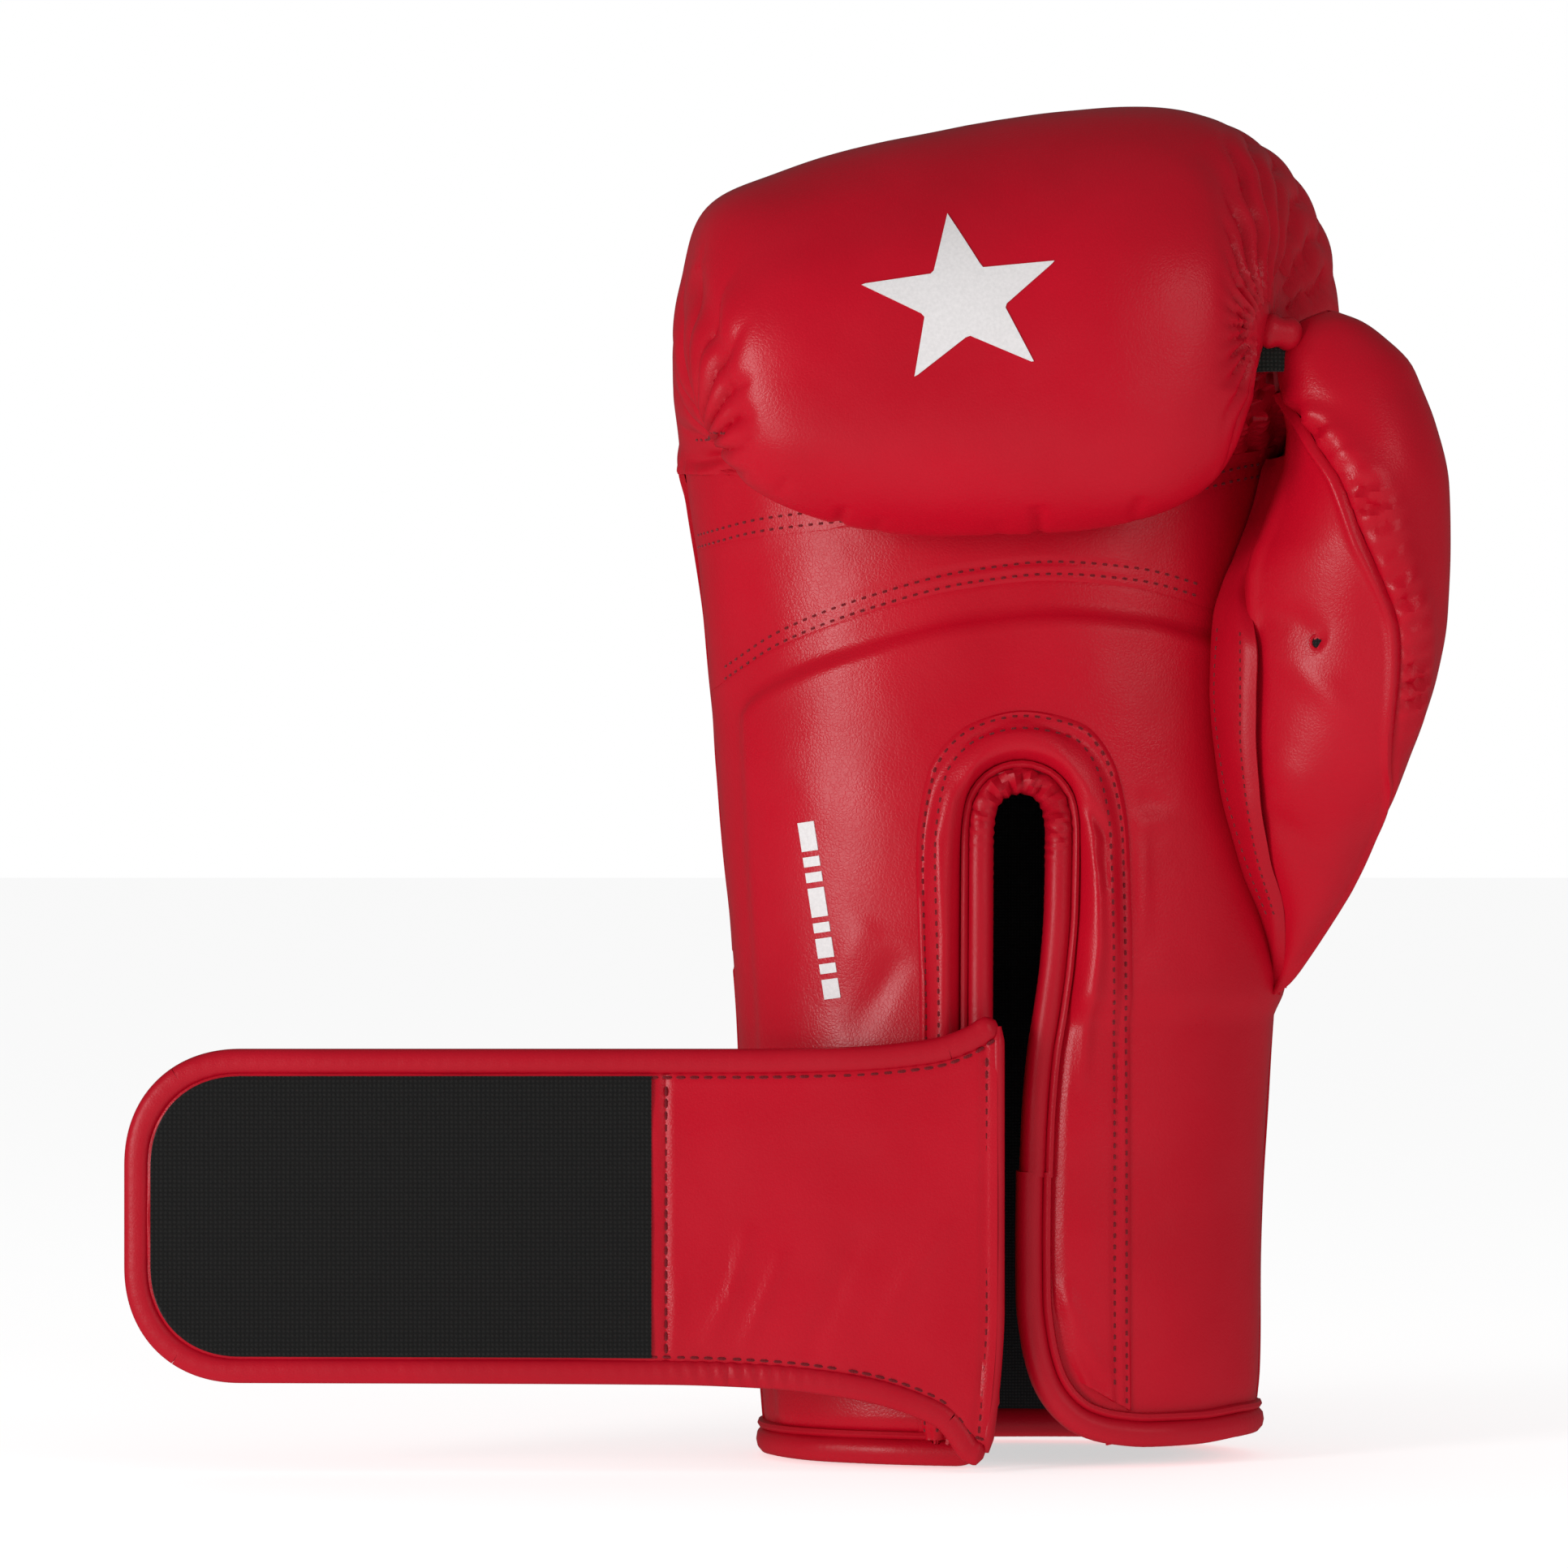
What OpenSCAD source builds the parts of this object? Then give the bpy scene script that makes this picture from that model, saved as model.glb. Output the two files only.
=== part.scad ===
// Right-hand boxing glove with a hook-and-loop wrist strap, standing on its cuff.
// Millimetres. +Z runs up the hand, the palm faces -Y and the thumb is on +X.
// The origin is the centre of the cuff's mouth.

/* [Skin and lining] */
// Thickness of the outer leather
skin_t = 1.4; // [1:0.1:1.8]
// Thickness of the lining cloth
lining_t = 1; // [0.6:0.1:1.2]
// How far the rolled bindings stand proud of the leather
binding_proud = 1.4; // [0.8:0.1:1.8]

/* [Padding] */
// Foam over the knuckles, at its thickest
knuckle_foam_t = 29; // [24:1:30]
// Foam in the walls of the cuff
cuff_foam_t = 6; // [5:0.5:7]
// Foam in the palm
palm_foam_t = 4; // [3:0.5:5]
// Radius of the roll of foam that the fingers close on
grip_bar_r = 5; // [4:0.5:5.5]

/* [Strap] */
// Length of the strap from its fold to its tip
strap_len = 194; // [180:1:200]
// Width of the strap
strap_w = 74; // [66:1:76]
// Thickness of the strap's padded leather
strap_t = 3.6; // [3:0.1:4]
// Number of stiff lengths that stand for the flexible strap
strap_links = 8; // [6:1:9]
// Width of the rolled binding along the strap's edges
strap_binding_w = 5.4; // [4:0.2:6]
// Length of the hook patch
hook_len = 112; // [90:1:114]

/* [Hidden] */
rim_h = 6;
grip_bar_len = 56;
crease_y = -36;
crease_z = 222;
top_tilt = 0.15;
section_power = 2.3;
layer_gap = 0.05;
nap_t = 1.2;
print_t = 0.3;

// Stations up the glove. Up to crease_z a station is a height; past it, it is crease_z plus
// the angle that the fist has curled about the crease under the fold.
palm_rows = [0, rim_h, 26, 50, 74, 98, 112, 125, 138, 148.5, 153, 164, 176, 196, 210];
curl_rows = [for (a = [0:20:220]) crease_z + a];
rows = concat(palm_rows, curl_rows, [crease_z + 236, crease_z + 248]);
// Stations round the glove: 0 is the thumb side, 90 the back, 180 the little finger's side
back_cols = [for (a = [0:20:180]) a];
slit_l = 267.6;
slit_r = 274.4;
piping_l = 263.5;
piping_r = 278.4;
seat_l = 262;
seat_r = 280;
facing_l = 252.3;
facing_r = 293.8;
palm_cols = [198, 216, 234, facing_l, seat_l, piping_l, slit_l, slit_r, piping_r, seat_r, facing_r,
    312, 328, 344];
cols = concat(back_cols, palm_cols);
slit_top = 148.5;
piping_top = 153;
facing_top = 164;
arc_seam = 176;
upper_seam = 196;
cuff_seam = 112;

// Outline of the glove at each station
left_x = [[0, -55], [60, -57], [100, -60], [150, -65], [200, -70], [222, -73], [252, -75.5],
    [282, -75.5], [312, -73], [342, -70], [372, -67], [402, -64], [432, -57], [458, -44], [470, -20]];
right_x = [[0, 55], [60, 56], [100, 58], [150, 60], [200, 62], [222, 65], [242, 73], [262, 75],
    [282, 67], [302, 61], [342, 57], [372, 53], [402, 51], [432, 44], [458, 33], [470, 15]];
outer_q = [[0, 38], [60, 40], [120, 48], [170, 56], [222, 60], [252, 60], [282, 50], [312, 42],
    [342, 28], [372, 6], [402, -1], [432, -12], [458, -20], [470, -28]];
inner_q = [[0, -40], [120, -40], [180, -38], [222, -36], [242, -34], [458, -33], [470, -31]];
foam_out = [[0, cuff_foam_t], [112, cuff_foam_t + 3], [170, 22], [222, knuckle_foam_t],
    [302, knuckle_foam_t], [342, 24], [372, 15], [402, 10], [432, 7], [458, 4], [470, 1]];
foam_side = [[0, cuff_foam_t], [112, cuff_foam_t + 2], [222, 14], [342, 14], [402, 12], [458, 8], [470, 4]];
foam_in = [[0, cuff_foam_t - 1], [112, palm_foam_t], [222, 3], [402, 2], [458, 1.5], [470, 0.5]];

// Depths under the outer leather: -2 binding, -1 patch, 0 outside, 1 under the leather,
// 2 inside the foam, 3 inside the lining, 4 inside a binding
function foam_share(layer) = layer >= 2 ? 1 : 0;
function plain_depth(layer) =
    layer == -2 ? -binding_proud :
    layer == -1 ? -nap_t :
    layer == -0.5 ? -print_t :
    layer == 0 ? 0 :
    layer == 1 ? skin_t :
    layer == 1.5 ? skin_t + layer_gap :
    layer == 2 ? skin_t :
    layer == 2.5 ? skin_t + layer_gap :
    layer == 3 ? skin_t + lining_t : skin_t + lining_t + 1;
function depth(layer, table, s) = plain_depth(layer) + foam_share(layer) * lookup(s, table);
function signed_power(v) = sign(v) * pow(abs(v), 2 / section_power);
function rise(z) = let (u = max(0, min(1, (z - 200) / 90))) u * u * (3 - 2 * u);
function tilted(p) = [p[0], p[1], p[2] + top_tilt * p[0] * rise(p[2])];

// A point of the glove at station s and angle a, on one layer
function glove_point(s, a, layer) =
    let (
        side = depth(layer, foam_side, s),
        x0 = lookup(s, left_x) + side,
        x1 = lookup(s, right_x) - side,
        q0 = lookup(s, inner_q) + depth(layer, foam_in, s),
        q1 = max(q0 + 1, lookup(s, outer_q) - depth(layer, foam_out, s)),
        x = (x0 + x1) / 2 + (x1 - x0) / 2 * signed_power(cos(a)),
        q = (q0 + q1) / 2 + (q1 - q0) / 2 * signed_power(sin(a)),
        reach = q - crease_y
    )
    s <= crease_z ? [x, q, s] :
        tilted([x, crease_y + reach * cos(s - crease_z), crease_z + reach * sin(s - crease_z)]);

// Triangles of a slab whose two skins are grids of n by m points. wanted(i, j) says which cells
// it has. Columns close on themselves, so that m cells go round.
function quad(a, b, c, d, flip) = flip ? [[a, c, b], [a, d, c]] : [[a, b, c], [a, c, d]];
function slab_faces(n, m, wanted) =
    let (
        inside = function (i, j) i < 0 || i >= n - 1 ? false : wanted(i, (j + m) % m),
        id = function (i, j, k) (k * n + i) * m + (j + m) % m
    )
    [for (i = [0:n - 2]) for (j = [0:m - 1]) if (wanted(i, j))
        for (face = concat(
            quad(id(i, j, 0), id(i, j + 1, 0), id(i + 1, j + 1, 0), id(i + 1, j, 0), true),
            quad(id(i, j, 1), id(i, j + 1, 1), id(i + 1, j + 1, 1), id(i + 1, j, 1), false),
            inside(i - 1, j) ? [] : quad(id(i, j, 0), id(i, j + 1, 0), id(i, j + 1, 1), id(i, j, 1), false),
            inside(i + 1, j) ? [] : quad(id(i + 1, j, 0), id(i + 1, j + 1, 0),
                id(i + 1, j + 1, 1), id(i + 1, j, 1), true),
            inside(i, j - 1) ? [] : quad(id(i, j, 0), id(i + 1, j, 0), id(i + 1, j, 1), id(i, j, 1), true),
            inside(i, j + 1) ? [] : quad(id(i, j + 1, 0), id(i + 1, j + 1, 0),
                id(i + 1, j + 1, 1), id(i, j + 1, 1), false)
        )) face];

// A slab between two layers of a surface, over the cells that wanted(s, a) picks
module slab(rows, cols, point, layer_out, layer_in, wanted) {
    n = len(rows);
    m = len(cols);
    mid_s = [for (i = [0:n - 2]) (rows[i] + rows[i + 1]) / 2];
    mid_a = [for (j = [0:m - 1]) (cols[j] + (j == m - 1 ? 360 : cols[j + 1])) / 2];
    points = [for (layer = [layer_out, layer_in]) for (s = rows) for (a = cols) point(s, a, layer)];
    polyhedron(points, slab_faces(n, m, function (i, j) wanted(mid_s[i], mid_a[j])), convexity = 10);
}
module wall(layer_out, layer_in, wanted) {
    slab(rows, cols, function (s, a, layer) glove_point(s, a, layer), layer_out, layer_in, wanted);
}
module thumb_wall(layer_out, layer_in, wanted) {
    slab(thumb_rows, thumb_cols, function (s, a, layer) thumb_point(s, a, layer),
        layer_out, layer_in, wanted);
}

// Which part of the wall a cell belongs to
function in_front(a) = a > 180;
function between(v, low, high) = v > low && v < high;
function in_slit(s, a) = s < slit_top && between(a, slit_l, slit_r);
function in_piping(s, a) = s > rim_h && s < piping_top && between(a, piping_l, piping_r) && !in_slit(s, a);
function in_facing(s, a) = s > rim_h && s < facing_top && between(a, facing_l, facing_r)
    && !(s < piping_top && between(a, piping_l, piping_r));
function in_surround(s, a) = s < facing_top && between(a, facing_l, facing_r);
function in_seat(s, a) = s < piping_top && between(a, seat_l, seat_r);
function in_thumb_window(s, a) = between(s, 125, 164) && between(a, 328, 344);
function in_hook_field(s, a) = between(s, 26, 98) && (a < 150 || a > 344);

// Thumb: a padded horn beside the palm, with level rings from thumb_base_z to its tip
thumb_rows = [108, 118, 130, 145, 160, 175, 190, 205, 220, 232, 242, 250, 255, 257];
thumb_cols = [0, 30, 60, 90, 120, 150, 190, 212, 234, 256, 278, 300, 330];
thumb_left = [[108, 60.5], [118, 62], [130, 58.3], [150, 54.5], [180, 53], [210, 57.5], [232, 61],
    [245, 61.5], [254, 64], [257, 69]];
thumb_right = [[108, 66], [118, 70.5], [130, 77], [150, 85.3], [180, 94.7], [198, 97.3], [210, 97.4],
    [232, 94], [245, 88], [254, 79], [257, 73]];
thumb_y = [[108, -27], [150, -33], [190, -36], [230, -40], [257, -41]];
thumb_depth = [[108, 5], [130, 14], [150, 20], [190, 24], [220, 22], [240, 16], [254, 8], [257, 2]];
thumb_foam_t = 5;
thumb_seam_z = 236;
function thumb_inset(layer) = plain_depth(layer) + foam_share(layer) * thumb_foam_t;
function thumb_point(s, a, layer) =
    let (
        x0 = lookup(s, thumb_left),
        x1 = lookup(s, thumb_right),
        across = max(0.3, (x1 - x0) / 2 - thumb_inset(layer)),
        through = max(0.3, lookup(s, thumb_depth) - thumb_inset(layer))
    )
    [(x0 + x1) / 2 + across * signed_power(cos(a)), lookup(s, thumb_y) + through * signed_power(sin(a)), s];
function in_thumb_panel(s, a) = s < thumb_seam_z && between(a, 190, 300);
function in_thumb_mouth(s, a) = between(s, 130, 160) && between(a, 120, 190);

// Leather of the hand
module fist_cover() {
    color([0.72, 0.05, 0.1])
        wall(0, 1, function (s, a) s > crease_z || (s > cuff_seam && !in_front(a)));
}
module upper_palm_panel() {
    color([0.7, 0.05, 0.1])
        wall(0, 1, function (s, a) in_front(a) && between(s, upper_seam, crease_z));
}
module middle_palm_panel() {
    color([0.7, 0.05, 0.1])
        wall(0, 1, function (s, a) in_front(a) && between(s, arc_seam, upper_seam));
}
module lower_palm_panel() {
    color([0.7, 0.05, 0.1])
        wall(0, 1, function (s, a) in_front(a) && between(s, rim_h, arc_seam)
            && !in_surround(s, a) && !in_thumb_window(s, a));
}
module cuff_back_panel() {
    color([0.7, 0.05, 0.1])
        wall(0, 1, function (s, a) !in_front(a) && between(s, rim_h, cuff_seam));
}
module slit_facing() {
    color([0.7, 0.05, 0.1])
        wall(0, 1, function (s, a) in_facing(s, a));
}
module slit_piping() {
    color([0.74, 0.06, 0.1])
        wall(-2, 4, function (s, a) in_piping(s, a));
}
module cuff_binding() {
    color([0.74, 0.06, 0.1])
        wall(-2, 4, function (s, a) s < rim_h && !in_slit(s, a));
}

// Padding of the hand
module padding(wanted) {
    color([0.9, 0.88, 0.8])
        wall(1.5, 2, wanted);
}
module knuckle_foam() {
    padding(function (s, a) s > crease_z && !in_front(a));
}
module back_foam() {
    padding(function (s, a) between(s, cuff_seam, crease_z) && !in_front(a));
}
module grip_foam() {
    padding(function (s, a) s > crease_z && in_front(a));
}
module palm_foam() {
    padding(function (s, a) between(s, cuff_seam, crease_z) && in_front(a)
        && !in_seat(s, a) && !in_thumb_window(s, a));
}
module cuff_foam_back() {
    padding(function (s, a) between(s, rim_h, cuff_seam) && !in_front(a));
}
module cuff_foam_left() {
    padding(function (s, a) between(s, rim_h, cuff_seam) && between(a, 180, seat_l));
}
module cuff_foam_right() {
    padding(function (s, a) between(s, rim_h, cuff_seam) && between(a, seat_r, 360));
}

// Lining of the hand
module finger_lining() {
    color([0.06, 0.06, 0.06])
        wall(2.5, 3, function (s, a) s > crease_z);
}
module hand_lining() {
    color([0.06, 0.06, 0.06])
        wall(2.5, 3, function (s, a) between(s, cuff_seam, crease_z)
            && !in_seat(s, a) && !in_thumb_window(s, a));
}
module cuff_lining() {
    color([0.06, 0.06, 0.06])
        wall(2.5, 3, function (s, a) between(s, rim_h, cuff_seam) && !in_seat(s, a));
}
module grip_bar() {
    color([0.9, 0.88, 0.8])
        translate([-grip_bar_len / 2, crease_y + 17, crease_z + 1]) rotate([0, 90, 0])
            cylinder(h = grip_bar_len, r = grip_bar_r, $fn = 32);
}

// Thumb
module thumb_cover() {
    color([0.72, 0.05, 0.1])
        thumb_wall(0, 1, function (s, a) !in_thumb_panel(s, a) && !in_thumb_mouth(s, a));
}
module thumb_inner_panel() {
    color([0.7, 0.05, 0.1])
        thumb_wall(0, 1, function (s, a) in_thumb_panel(s, a));
}
module thumb_foam() {
    color([0.9, 0.88, 0.8])
        thumb_wall(1.5, 2, function (s, a) !in_thumb_mouth(s, a));
}
module thumb_lining() {
    color([0.06, 0.06, 0.06])
        thumb_wall(2.5, 3, function (s, a) between(s, 130, 242) && !in_thumb_mouth(s, a));
}

// Strip of leather between the palm and the thumb, over stations a of the palm and b of the thumb
web_rows = [122, 136, 150, 164, 178];
web_gap = -2;
module thumb_strip(a, b) {
    n = len(web_rows);
    points = [for (s = web_rows) each [
        glove_point(s, a[0], web_gap), glove_point(s, a[1], web_gap),
        thumb_point(s, b[0], web_gap), thumb_point(s, b[1], web_gap)]];
    sides = [for (i = [0:n - 2]) for (k = [0:3])
        each quad(4 * i + k, 4 * i + (k + 1) % 4, 4 * i + 4 + (k + 1) % 4, 4 * i + 4 + k, true)];
    ends = concat(quad(0, 1, 2, 3, false), quad(4 * n - 4, 4 * n - 3, 4 * n - 2, 4 * n - 1, true));
    polyhedron(points, concat(sides, ends), convexity = 4);
}
module thumb_gusset() {
    color([0.74, 0.06, 0.1]) thumb_strip([314, 321], [188, 202]);
}
module thumb_web() {
    color([0.7, 0.05, 0.1]) thumb_strip([350, 358], [100, 116]);
}

// Webbing that ties the thumb's tip to the fist
lock_x = 56.2;
lock_y = -48;
lock_z = 246;
module thumb_lock() {
    color([0.05, 0.06, 0.05])
        translate([lock_x, lock_y - 1, lock_z - 3]) cube([6.4, 2, 6]);
}

// Strap: stiff lengths in a row along -X, from the fold at the slit's left edge
fold_x = -2;
strap_face_y = -51;
strap_mid_z = 56.5;
link_gap = 0.4;
tip_r = 26;
tip_power = 2.3;
flare_len = 44;
flare_up = 8.5;
flare_down = 19;
link_len = strap_len / strap_links;
hook_end = strap_len - strap_binding_w;
hook_start = hook_end - hook_len;
hook_t = 1.1;

// Half the strap's width at distance d from its fold, with its edges drawn in by inset
function tip_share(d, inset) =
    let (u = max(0, 1 - (strap_len - inset - d) / tip_r))
    pow(max(0, 1 - pow(min(1, u), tip_power)), 1 / tip_power);
function flare(d) = let (u = max(0, 1 - d / flare_len)) u * u;
function strap_top(d, inset) =
    strap_mid_z + (strap_w / 2 - inset) * tip_share(d, inset) + flare_up * flare(d);
function strap_bottom(d, inset) =
    strap_mid_z - (strap_w / 2 - inset) * tip_share(d, inset) - (flare_down - 1) * flare(d);
function strap_stations(d0, d1) = [for (k = [0:6]) d0 + (d1 - d0) * k / 6];
// Flat outline of the strap between two distances from the fold
module strap_outline(d0, d1, inset) {
    end = min(d1, strap_len - inset - 0.01);
    if (end > d0)
        polygon(concat(
            [for (d = strap_stations(d0, end)) [fold_x - d, strap_top(d, inset)]],
            [for (d = strap_stations(end, d0)) [fold_x - d, strap_bottom(d, inset)]]
        ));
}
// Stands an outline in X and Z up, between two depths in Y
module stand(y0, y1) {
    translate([0, y1, 0]) rotate([90, 0, 0]) linear_extrude(y1 - y0) children();
}
function link_from(k) = link_len * (k - 1) + link_gap / 2;
function link_to(k) = link_len * k - (k == strap_links ? 0 : link_gap / 2);
module strap_leather(k) {
    color([0.74, 0.06, 0.1])
        stand(strap_face_y, strap_face_y + strap_t)
            strap_outline(link_from(k), link_to(k), strap_binding_w);
}
module strap_binding(k) {
    color([0.76, 0.06, 0.1])
        stand(strap_face_y - 0.7, strap_face_y + strap_t + 0.7)
            difference() {
                strap_outline(link_from(k), link_to(k), 0);
                strap_outline(link_from(k), link_to(k), strap_binding_w);
            }
}
module hook_patch(k) {
    color([0.04, 0.04, 0.045])
        stand(strap_face_y - hook_t, strap_face_y)
            strap_outline(max(link_from(k), hook_start), link_to(k), strap_binding_w + 0.3);
}
// Leather tab that holds the strap's root to the slit's left edge
module strap_anchor() {
    color([0.72, 0.05, 0.1])
        translate([fold_x - 6.3, strap_face_y + 4.7, 12]) cube([5.5, 4.6, 84]);
}

// Loop patch on the back of the cuff, where the hooks take hold
module loop_patch() {
    color([0.5, 0.03, 0.07])
        wall(-1, 0, function (s, a) in_hook_field(s, a));
}
// Plain white prints on the leather
module front_print() {
    color([0.95, 0.93, 0.92])
        wall(-0.5, 0, function (s, a) between(s, crease_z + 140, crease_z + 180) && between(a, 80, 120));
}
module size_print() {
    color([0.95, 0.93, 0.92])
        wall(-0.5, 0, function (s, a) between(s, 112, 148) && between(a, 216, 234));
}

FIRST_HOOK = floor(hook_start / link_len) + 1;
strap_numbers = [for (k = [1:strap_links]) k];
hook_numbers = [for (k = [FIRST_HOOK:strap_links]) k];
NODES = concat(
    ["fist_cover", "upper_palm_panel", "middle_palm_panel", "lower_palm_panel", "cuff_back_panel",
        "slit_facing", "slit_piping", "cuff_binding", "knuckle_foam", "back_foam", "grip_foam",
        "palm_foam", "cuff_foam_back", "cuff_foam_left", "cuff_foam_right", "finger_lining",
        "hand_lining", "cuff_lining", "grip_bar", "thumb_cover", "thumb_inner_panel", "thumb_foam",
        "thumb_lining", "thumb_gusset", "thumb_web", "thumb_lock", "strap_anchor", "loop_patch", "front_print",
        "size_print"],
    [for (k = strap_numbers) str("strap_leather_", k)],
    [for (k = strap_numbers) str("strap_binding_", k)],
    [for (k = hook_numbers) str("hook_patch_", k)]
);
node = "all";
function drawn(name) = node == "all" || node == name;

if (drawn("fist_cover")) fist_cover();
if (drawn("upper_palm_panel")) upper_palm_panel();
if (drawn("middle_palm_panel")) middle_palm_panel();
if (drawn("lower_palm_panel")) lower_palm_panel();
if (drawn("cuff_back_panel")) cuff_back_panel();
if (drawn("slit_facing")) slit_facing();
if (drawn("slit_piping")) slit_piping();
if (drawn("cuff_binding")) cuff_binding();
if (drawn("knuckle_foam")) knuckle_foam();
if (drawn("back_foam")) back_foam();
if (drawn("grip_foam")) grip_foam();
if (drawn("palm_foam")) palm_foam();
if (drawn("cuff_foam_back")) cuff_foam_back();
if (drawn("cuff_foam_left")) cuff_foam_left();
if (drawn("cuff_foam_right")) cuff_foam_right();
if (drawn("finger_lining")) finger_lining();
if (drawn("hand_lining")) hand_lining();
if (drawn("cuff_lining")) cuff_lining();
if (drawn("grip_bar")) grip_bar();
if (drawn("thumb_cover")) thumb_cover();
if (drawn("thumb_inner_panel")) thumb_inner_panel();
if (drawn("thumb_foam")) thumb_foam();
if (drawn("thumb_lining")) thumb_lining();
if (drawn("thumb_gusset")) thumb_gusset();
if (drawn("thumb_web")) thumb_web();
if (drawn("thumb_lock")) thumb_lock();
if (drawn("strap_anchor")) strap_anchor();
if (drawn("loop_patch")) loop_patch();
if (drawn("front_print")) front_print();
if (drawn("size_print")) size_print();
for (k = strap_numbers) {
    if (drawn(str("strap_leather_", k))) strap_leather(k);
    if (drawn(str("strap_binding_", k))) strap_binding(k);
}
for (k = hook_numbers)
    if (drawn(str("hook_patch_", k))) hook_patch(k);
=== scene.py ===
"""Looks of the boxing glove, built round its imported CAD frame. Lengths in the tables are millimetres."""

import math

import bmesh
import bpy
import numpy as np
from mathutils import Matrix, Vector, noise
from mathutils.bvhtree import BVHTree


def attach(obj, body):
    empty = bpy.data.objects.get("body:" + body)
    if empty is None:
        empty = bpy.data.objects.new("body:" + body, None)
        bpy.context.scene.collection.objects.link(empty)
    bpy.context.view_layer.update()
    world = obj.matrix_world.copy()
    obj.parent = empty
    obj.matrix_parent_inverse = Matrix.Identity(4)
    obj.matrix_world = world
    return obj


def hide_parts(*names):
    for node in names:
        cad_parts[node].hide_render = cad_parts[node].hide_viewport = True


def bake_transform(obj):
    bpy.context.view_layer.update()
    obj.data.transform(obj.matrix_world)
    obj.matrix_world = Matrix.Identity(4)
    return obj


MM = 0.001
RAY_FROM = -200.0
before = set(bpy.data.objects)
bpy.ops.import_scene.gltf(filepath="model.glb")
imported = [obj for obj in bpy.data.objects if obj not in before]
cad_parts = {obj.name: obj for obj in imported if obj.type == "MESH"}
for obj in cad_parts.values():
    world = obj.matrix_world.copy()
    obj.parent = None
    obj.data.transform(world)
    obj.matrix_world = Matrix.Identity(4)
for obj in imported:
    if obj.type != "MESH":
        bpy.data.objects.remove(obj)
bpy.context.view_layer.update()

# --------------------------------------------------------------------------- the glove's shape
CREASE_Y = -36.0
CREASE_Z = 222.0
CUFF_SEAM = 112
POWER = 2.3
SQUARE_LEFT = 2.5
SQUARE_RIGHT = 0.5
TILT = 0.182
RISE = -0.3

# station along the glove, then where its outline is; past CREASE_Z the station is an angle
LEFT_X = [(0, -54.5), (6, -55), (60, -59), (100, -61.5), (150, -65.5), (200, -70), (214, -72), (222, -73),
          (236, -74), (262, -75.5), (290, -75.5), (312, -73), (342, -71), (372, -67), (402, -61.5),
          (420, -55), (440, -44), (456, -31), (470, -14)]
RIGHT_X = [(0, 55.4), (6, 56), (20, 57.4), (60, 58.3), (100, 61), (112, 62.2), (150, 61.5), (200, 61.8),
           (222, 63), (242, 71), (262, 75.5), (282, 71), (302, 63.5), (342, 56.5), (372, 52.5), (402, 48),
           (420, 43), (440, 34), (456, 23), (470, 10)]
OUTER_Q = [(0, 38), (60, 40), (120, 48), (170, 56), (222, 60), (252, 58.3), (282, 49.8), (312, 41.2),
           (342, 25.5), (372, 7.7), (402, -1), (432, -11), (458, -19), (470, -27)]
INNER_Q = [(0, -40), (120, -40), (180, -38), (222, -36), (242, -34), (458, -33), (470, -31)]


def curve(table, at):
    """Smooth monotone curve through the table's points."""
    x, y = (np.array(c, float) for c in zip(*table))
    at = np.clip(np.asarray(at, float), x[0], x[-1])
    step = np.diff(x)
    slope = np.diff(y) / step
    m = np.zeros_like(x)
    same = slope[:-1] * slope[1:] > 0
    mean = 3 * (step[:-1] + step[1:])
    low = (2 * step[1:] + step[:-1]) / np.where(same, slope[:-1], 1)
    high = (step[1:] + 2 * step[:-1]) / np.where(same, slope[1:], 1)
    m[1:-1] = np.where(same, mean / (low + high), 0)
    m[0], m[-1] = slope[0], slope[-1]
    k = np.clip(np.searchsorted(x, at) - 1, 0, len(step) - 1)
    t = (at - x[k]) / step[k]
    return ((2 * t**3 - 3 * t**2 + 1) * y[k] + (t**3 - 2 * t**2 + t) * step[k] * m[k]
            + (3 * t**2 - 2 * t**3) * y[k + 1] + (t**3 - t**2) * step[k] * m[k + 1])


def signed_power(v, p):
    return np.sign(v) * np.abs(v) ** p


def smooth(v):
    v = np.clip(v, 0, 1)
    return v * v * (3 - 2 * v)


def hand(s, a, inset=0.0):
    """Points of the hand's surface at stations s and ring angles a, drawn in by inset."""
    s, a = np.broadcast_arrays(np.asarray(s, float), np.asarray(a, float))
    x0, x1 = curve(LEFT_X, s) + inset, curve(RIGHT_X, s) - inset
    q0 = curve(INNER_Q, s) + np.minimum(inset, 4)
    q1 = np.maximum(curve(OUTER_Q, s) - inset, q0 + 1)
    angle = np.radians(a)
    power = POWER + smooth((s - 235) / 40) * np.where(np.cos(angle) < 0, SQUARE_LEFT, SQUARE_RIGHT)
    x = (x0 + x1) / 2 + (x1 - x0) / 2 * signed_power(np.cos(angle), 2 / power)
    q = (q0 + q1) / 2 + (q1 - q0) / 2 * signed_power(np.sin(angle), 2 / POWER)
    curl = np.radians(np.maximum(s - CREASE_Z, 0))
    reach = q - CREASE_Y
    y = np.where(s <= CREASE_Z, q, CREASE_Y + reach * np.cos(curl))
    z = np.where(s <= CREASE_Z, s, CREASE_Z + reach * np.sin(curl))
    z = z + (TILT * x + RISE) * smooth((z - 200) / 90)
    return np.stack([x, y, z], -1)


def front_angle(x, s):
    """Ring angle at which the palm side of the hand has that x."""
    x0, x1 = curve(LEFT_X, s), curve(RIGHT_X, s)
    c = np.clip((np.asarray(x, float) - (x0 + x1) / 2) / ((x1 - x0) / 2), -1, 1)
    return 360 - np.degrees(np.arccos(signed_power(c, POWER / 2)))


def palm(x, z):
    """Points of the palm side of the hand at x and z."""
    return hand(z, front_angle(x, z))


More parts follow.
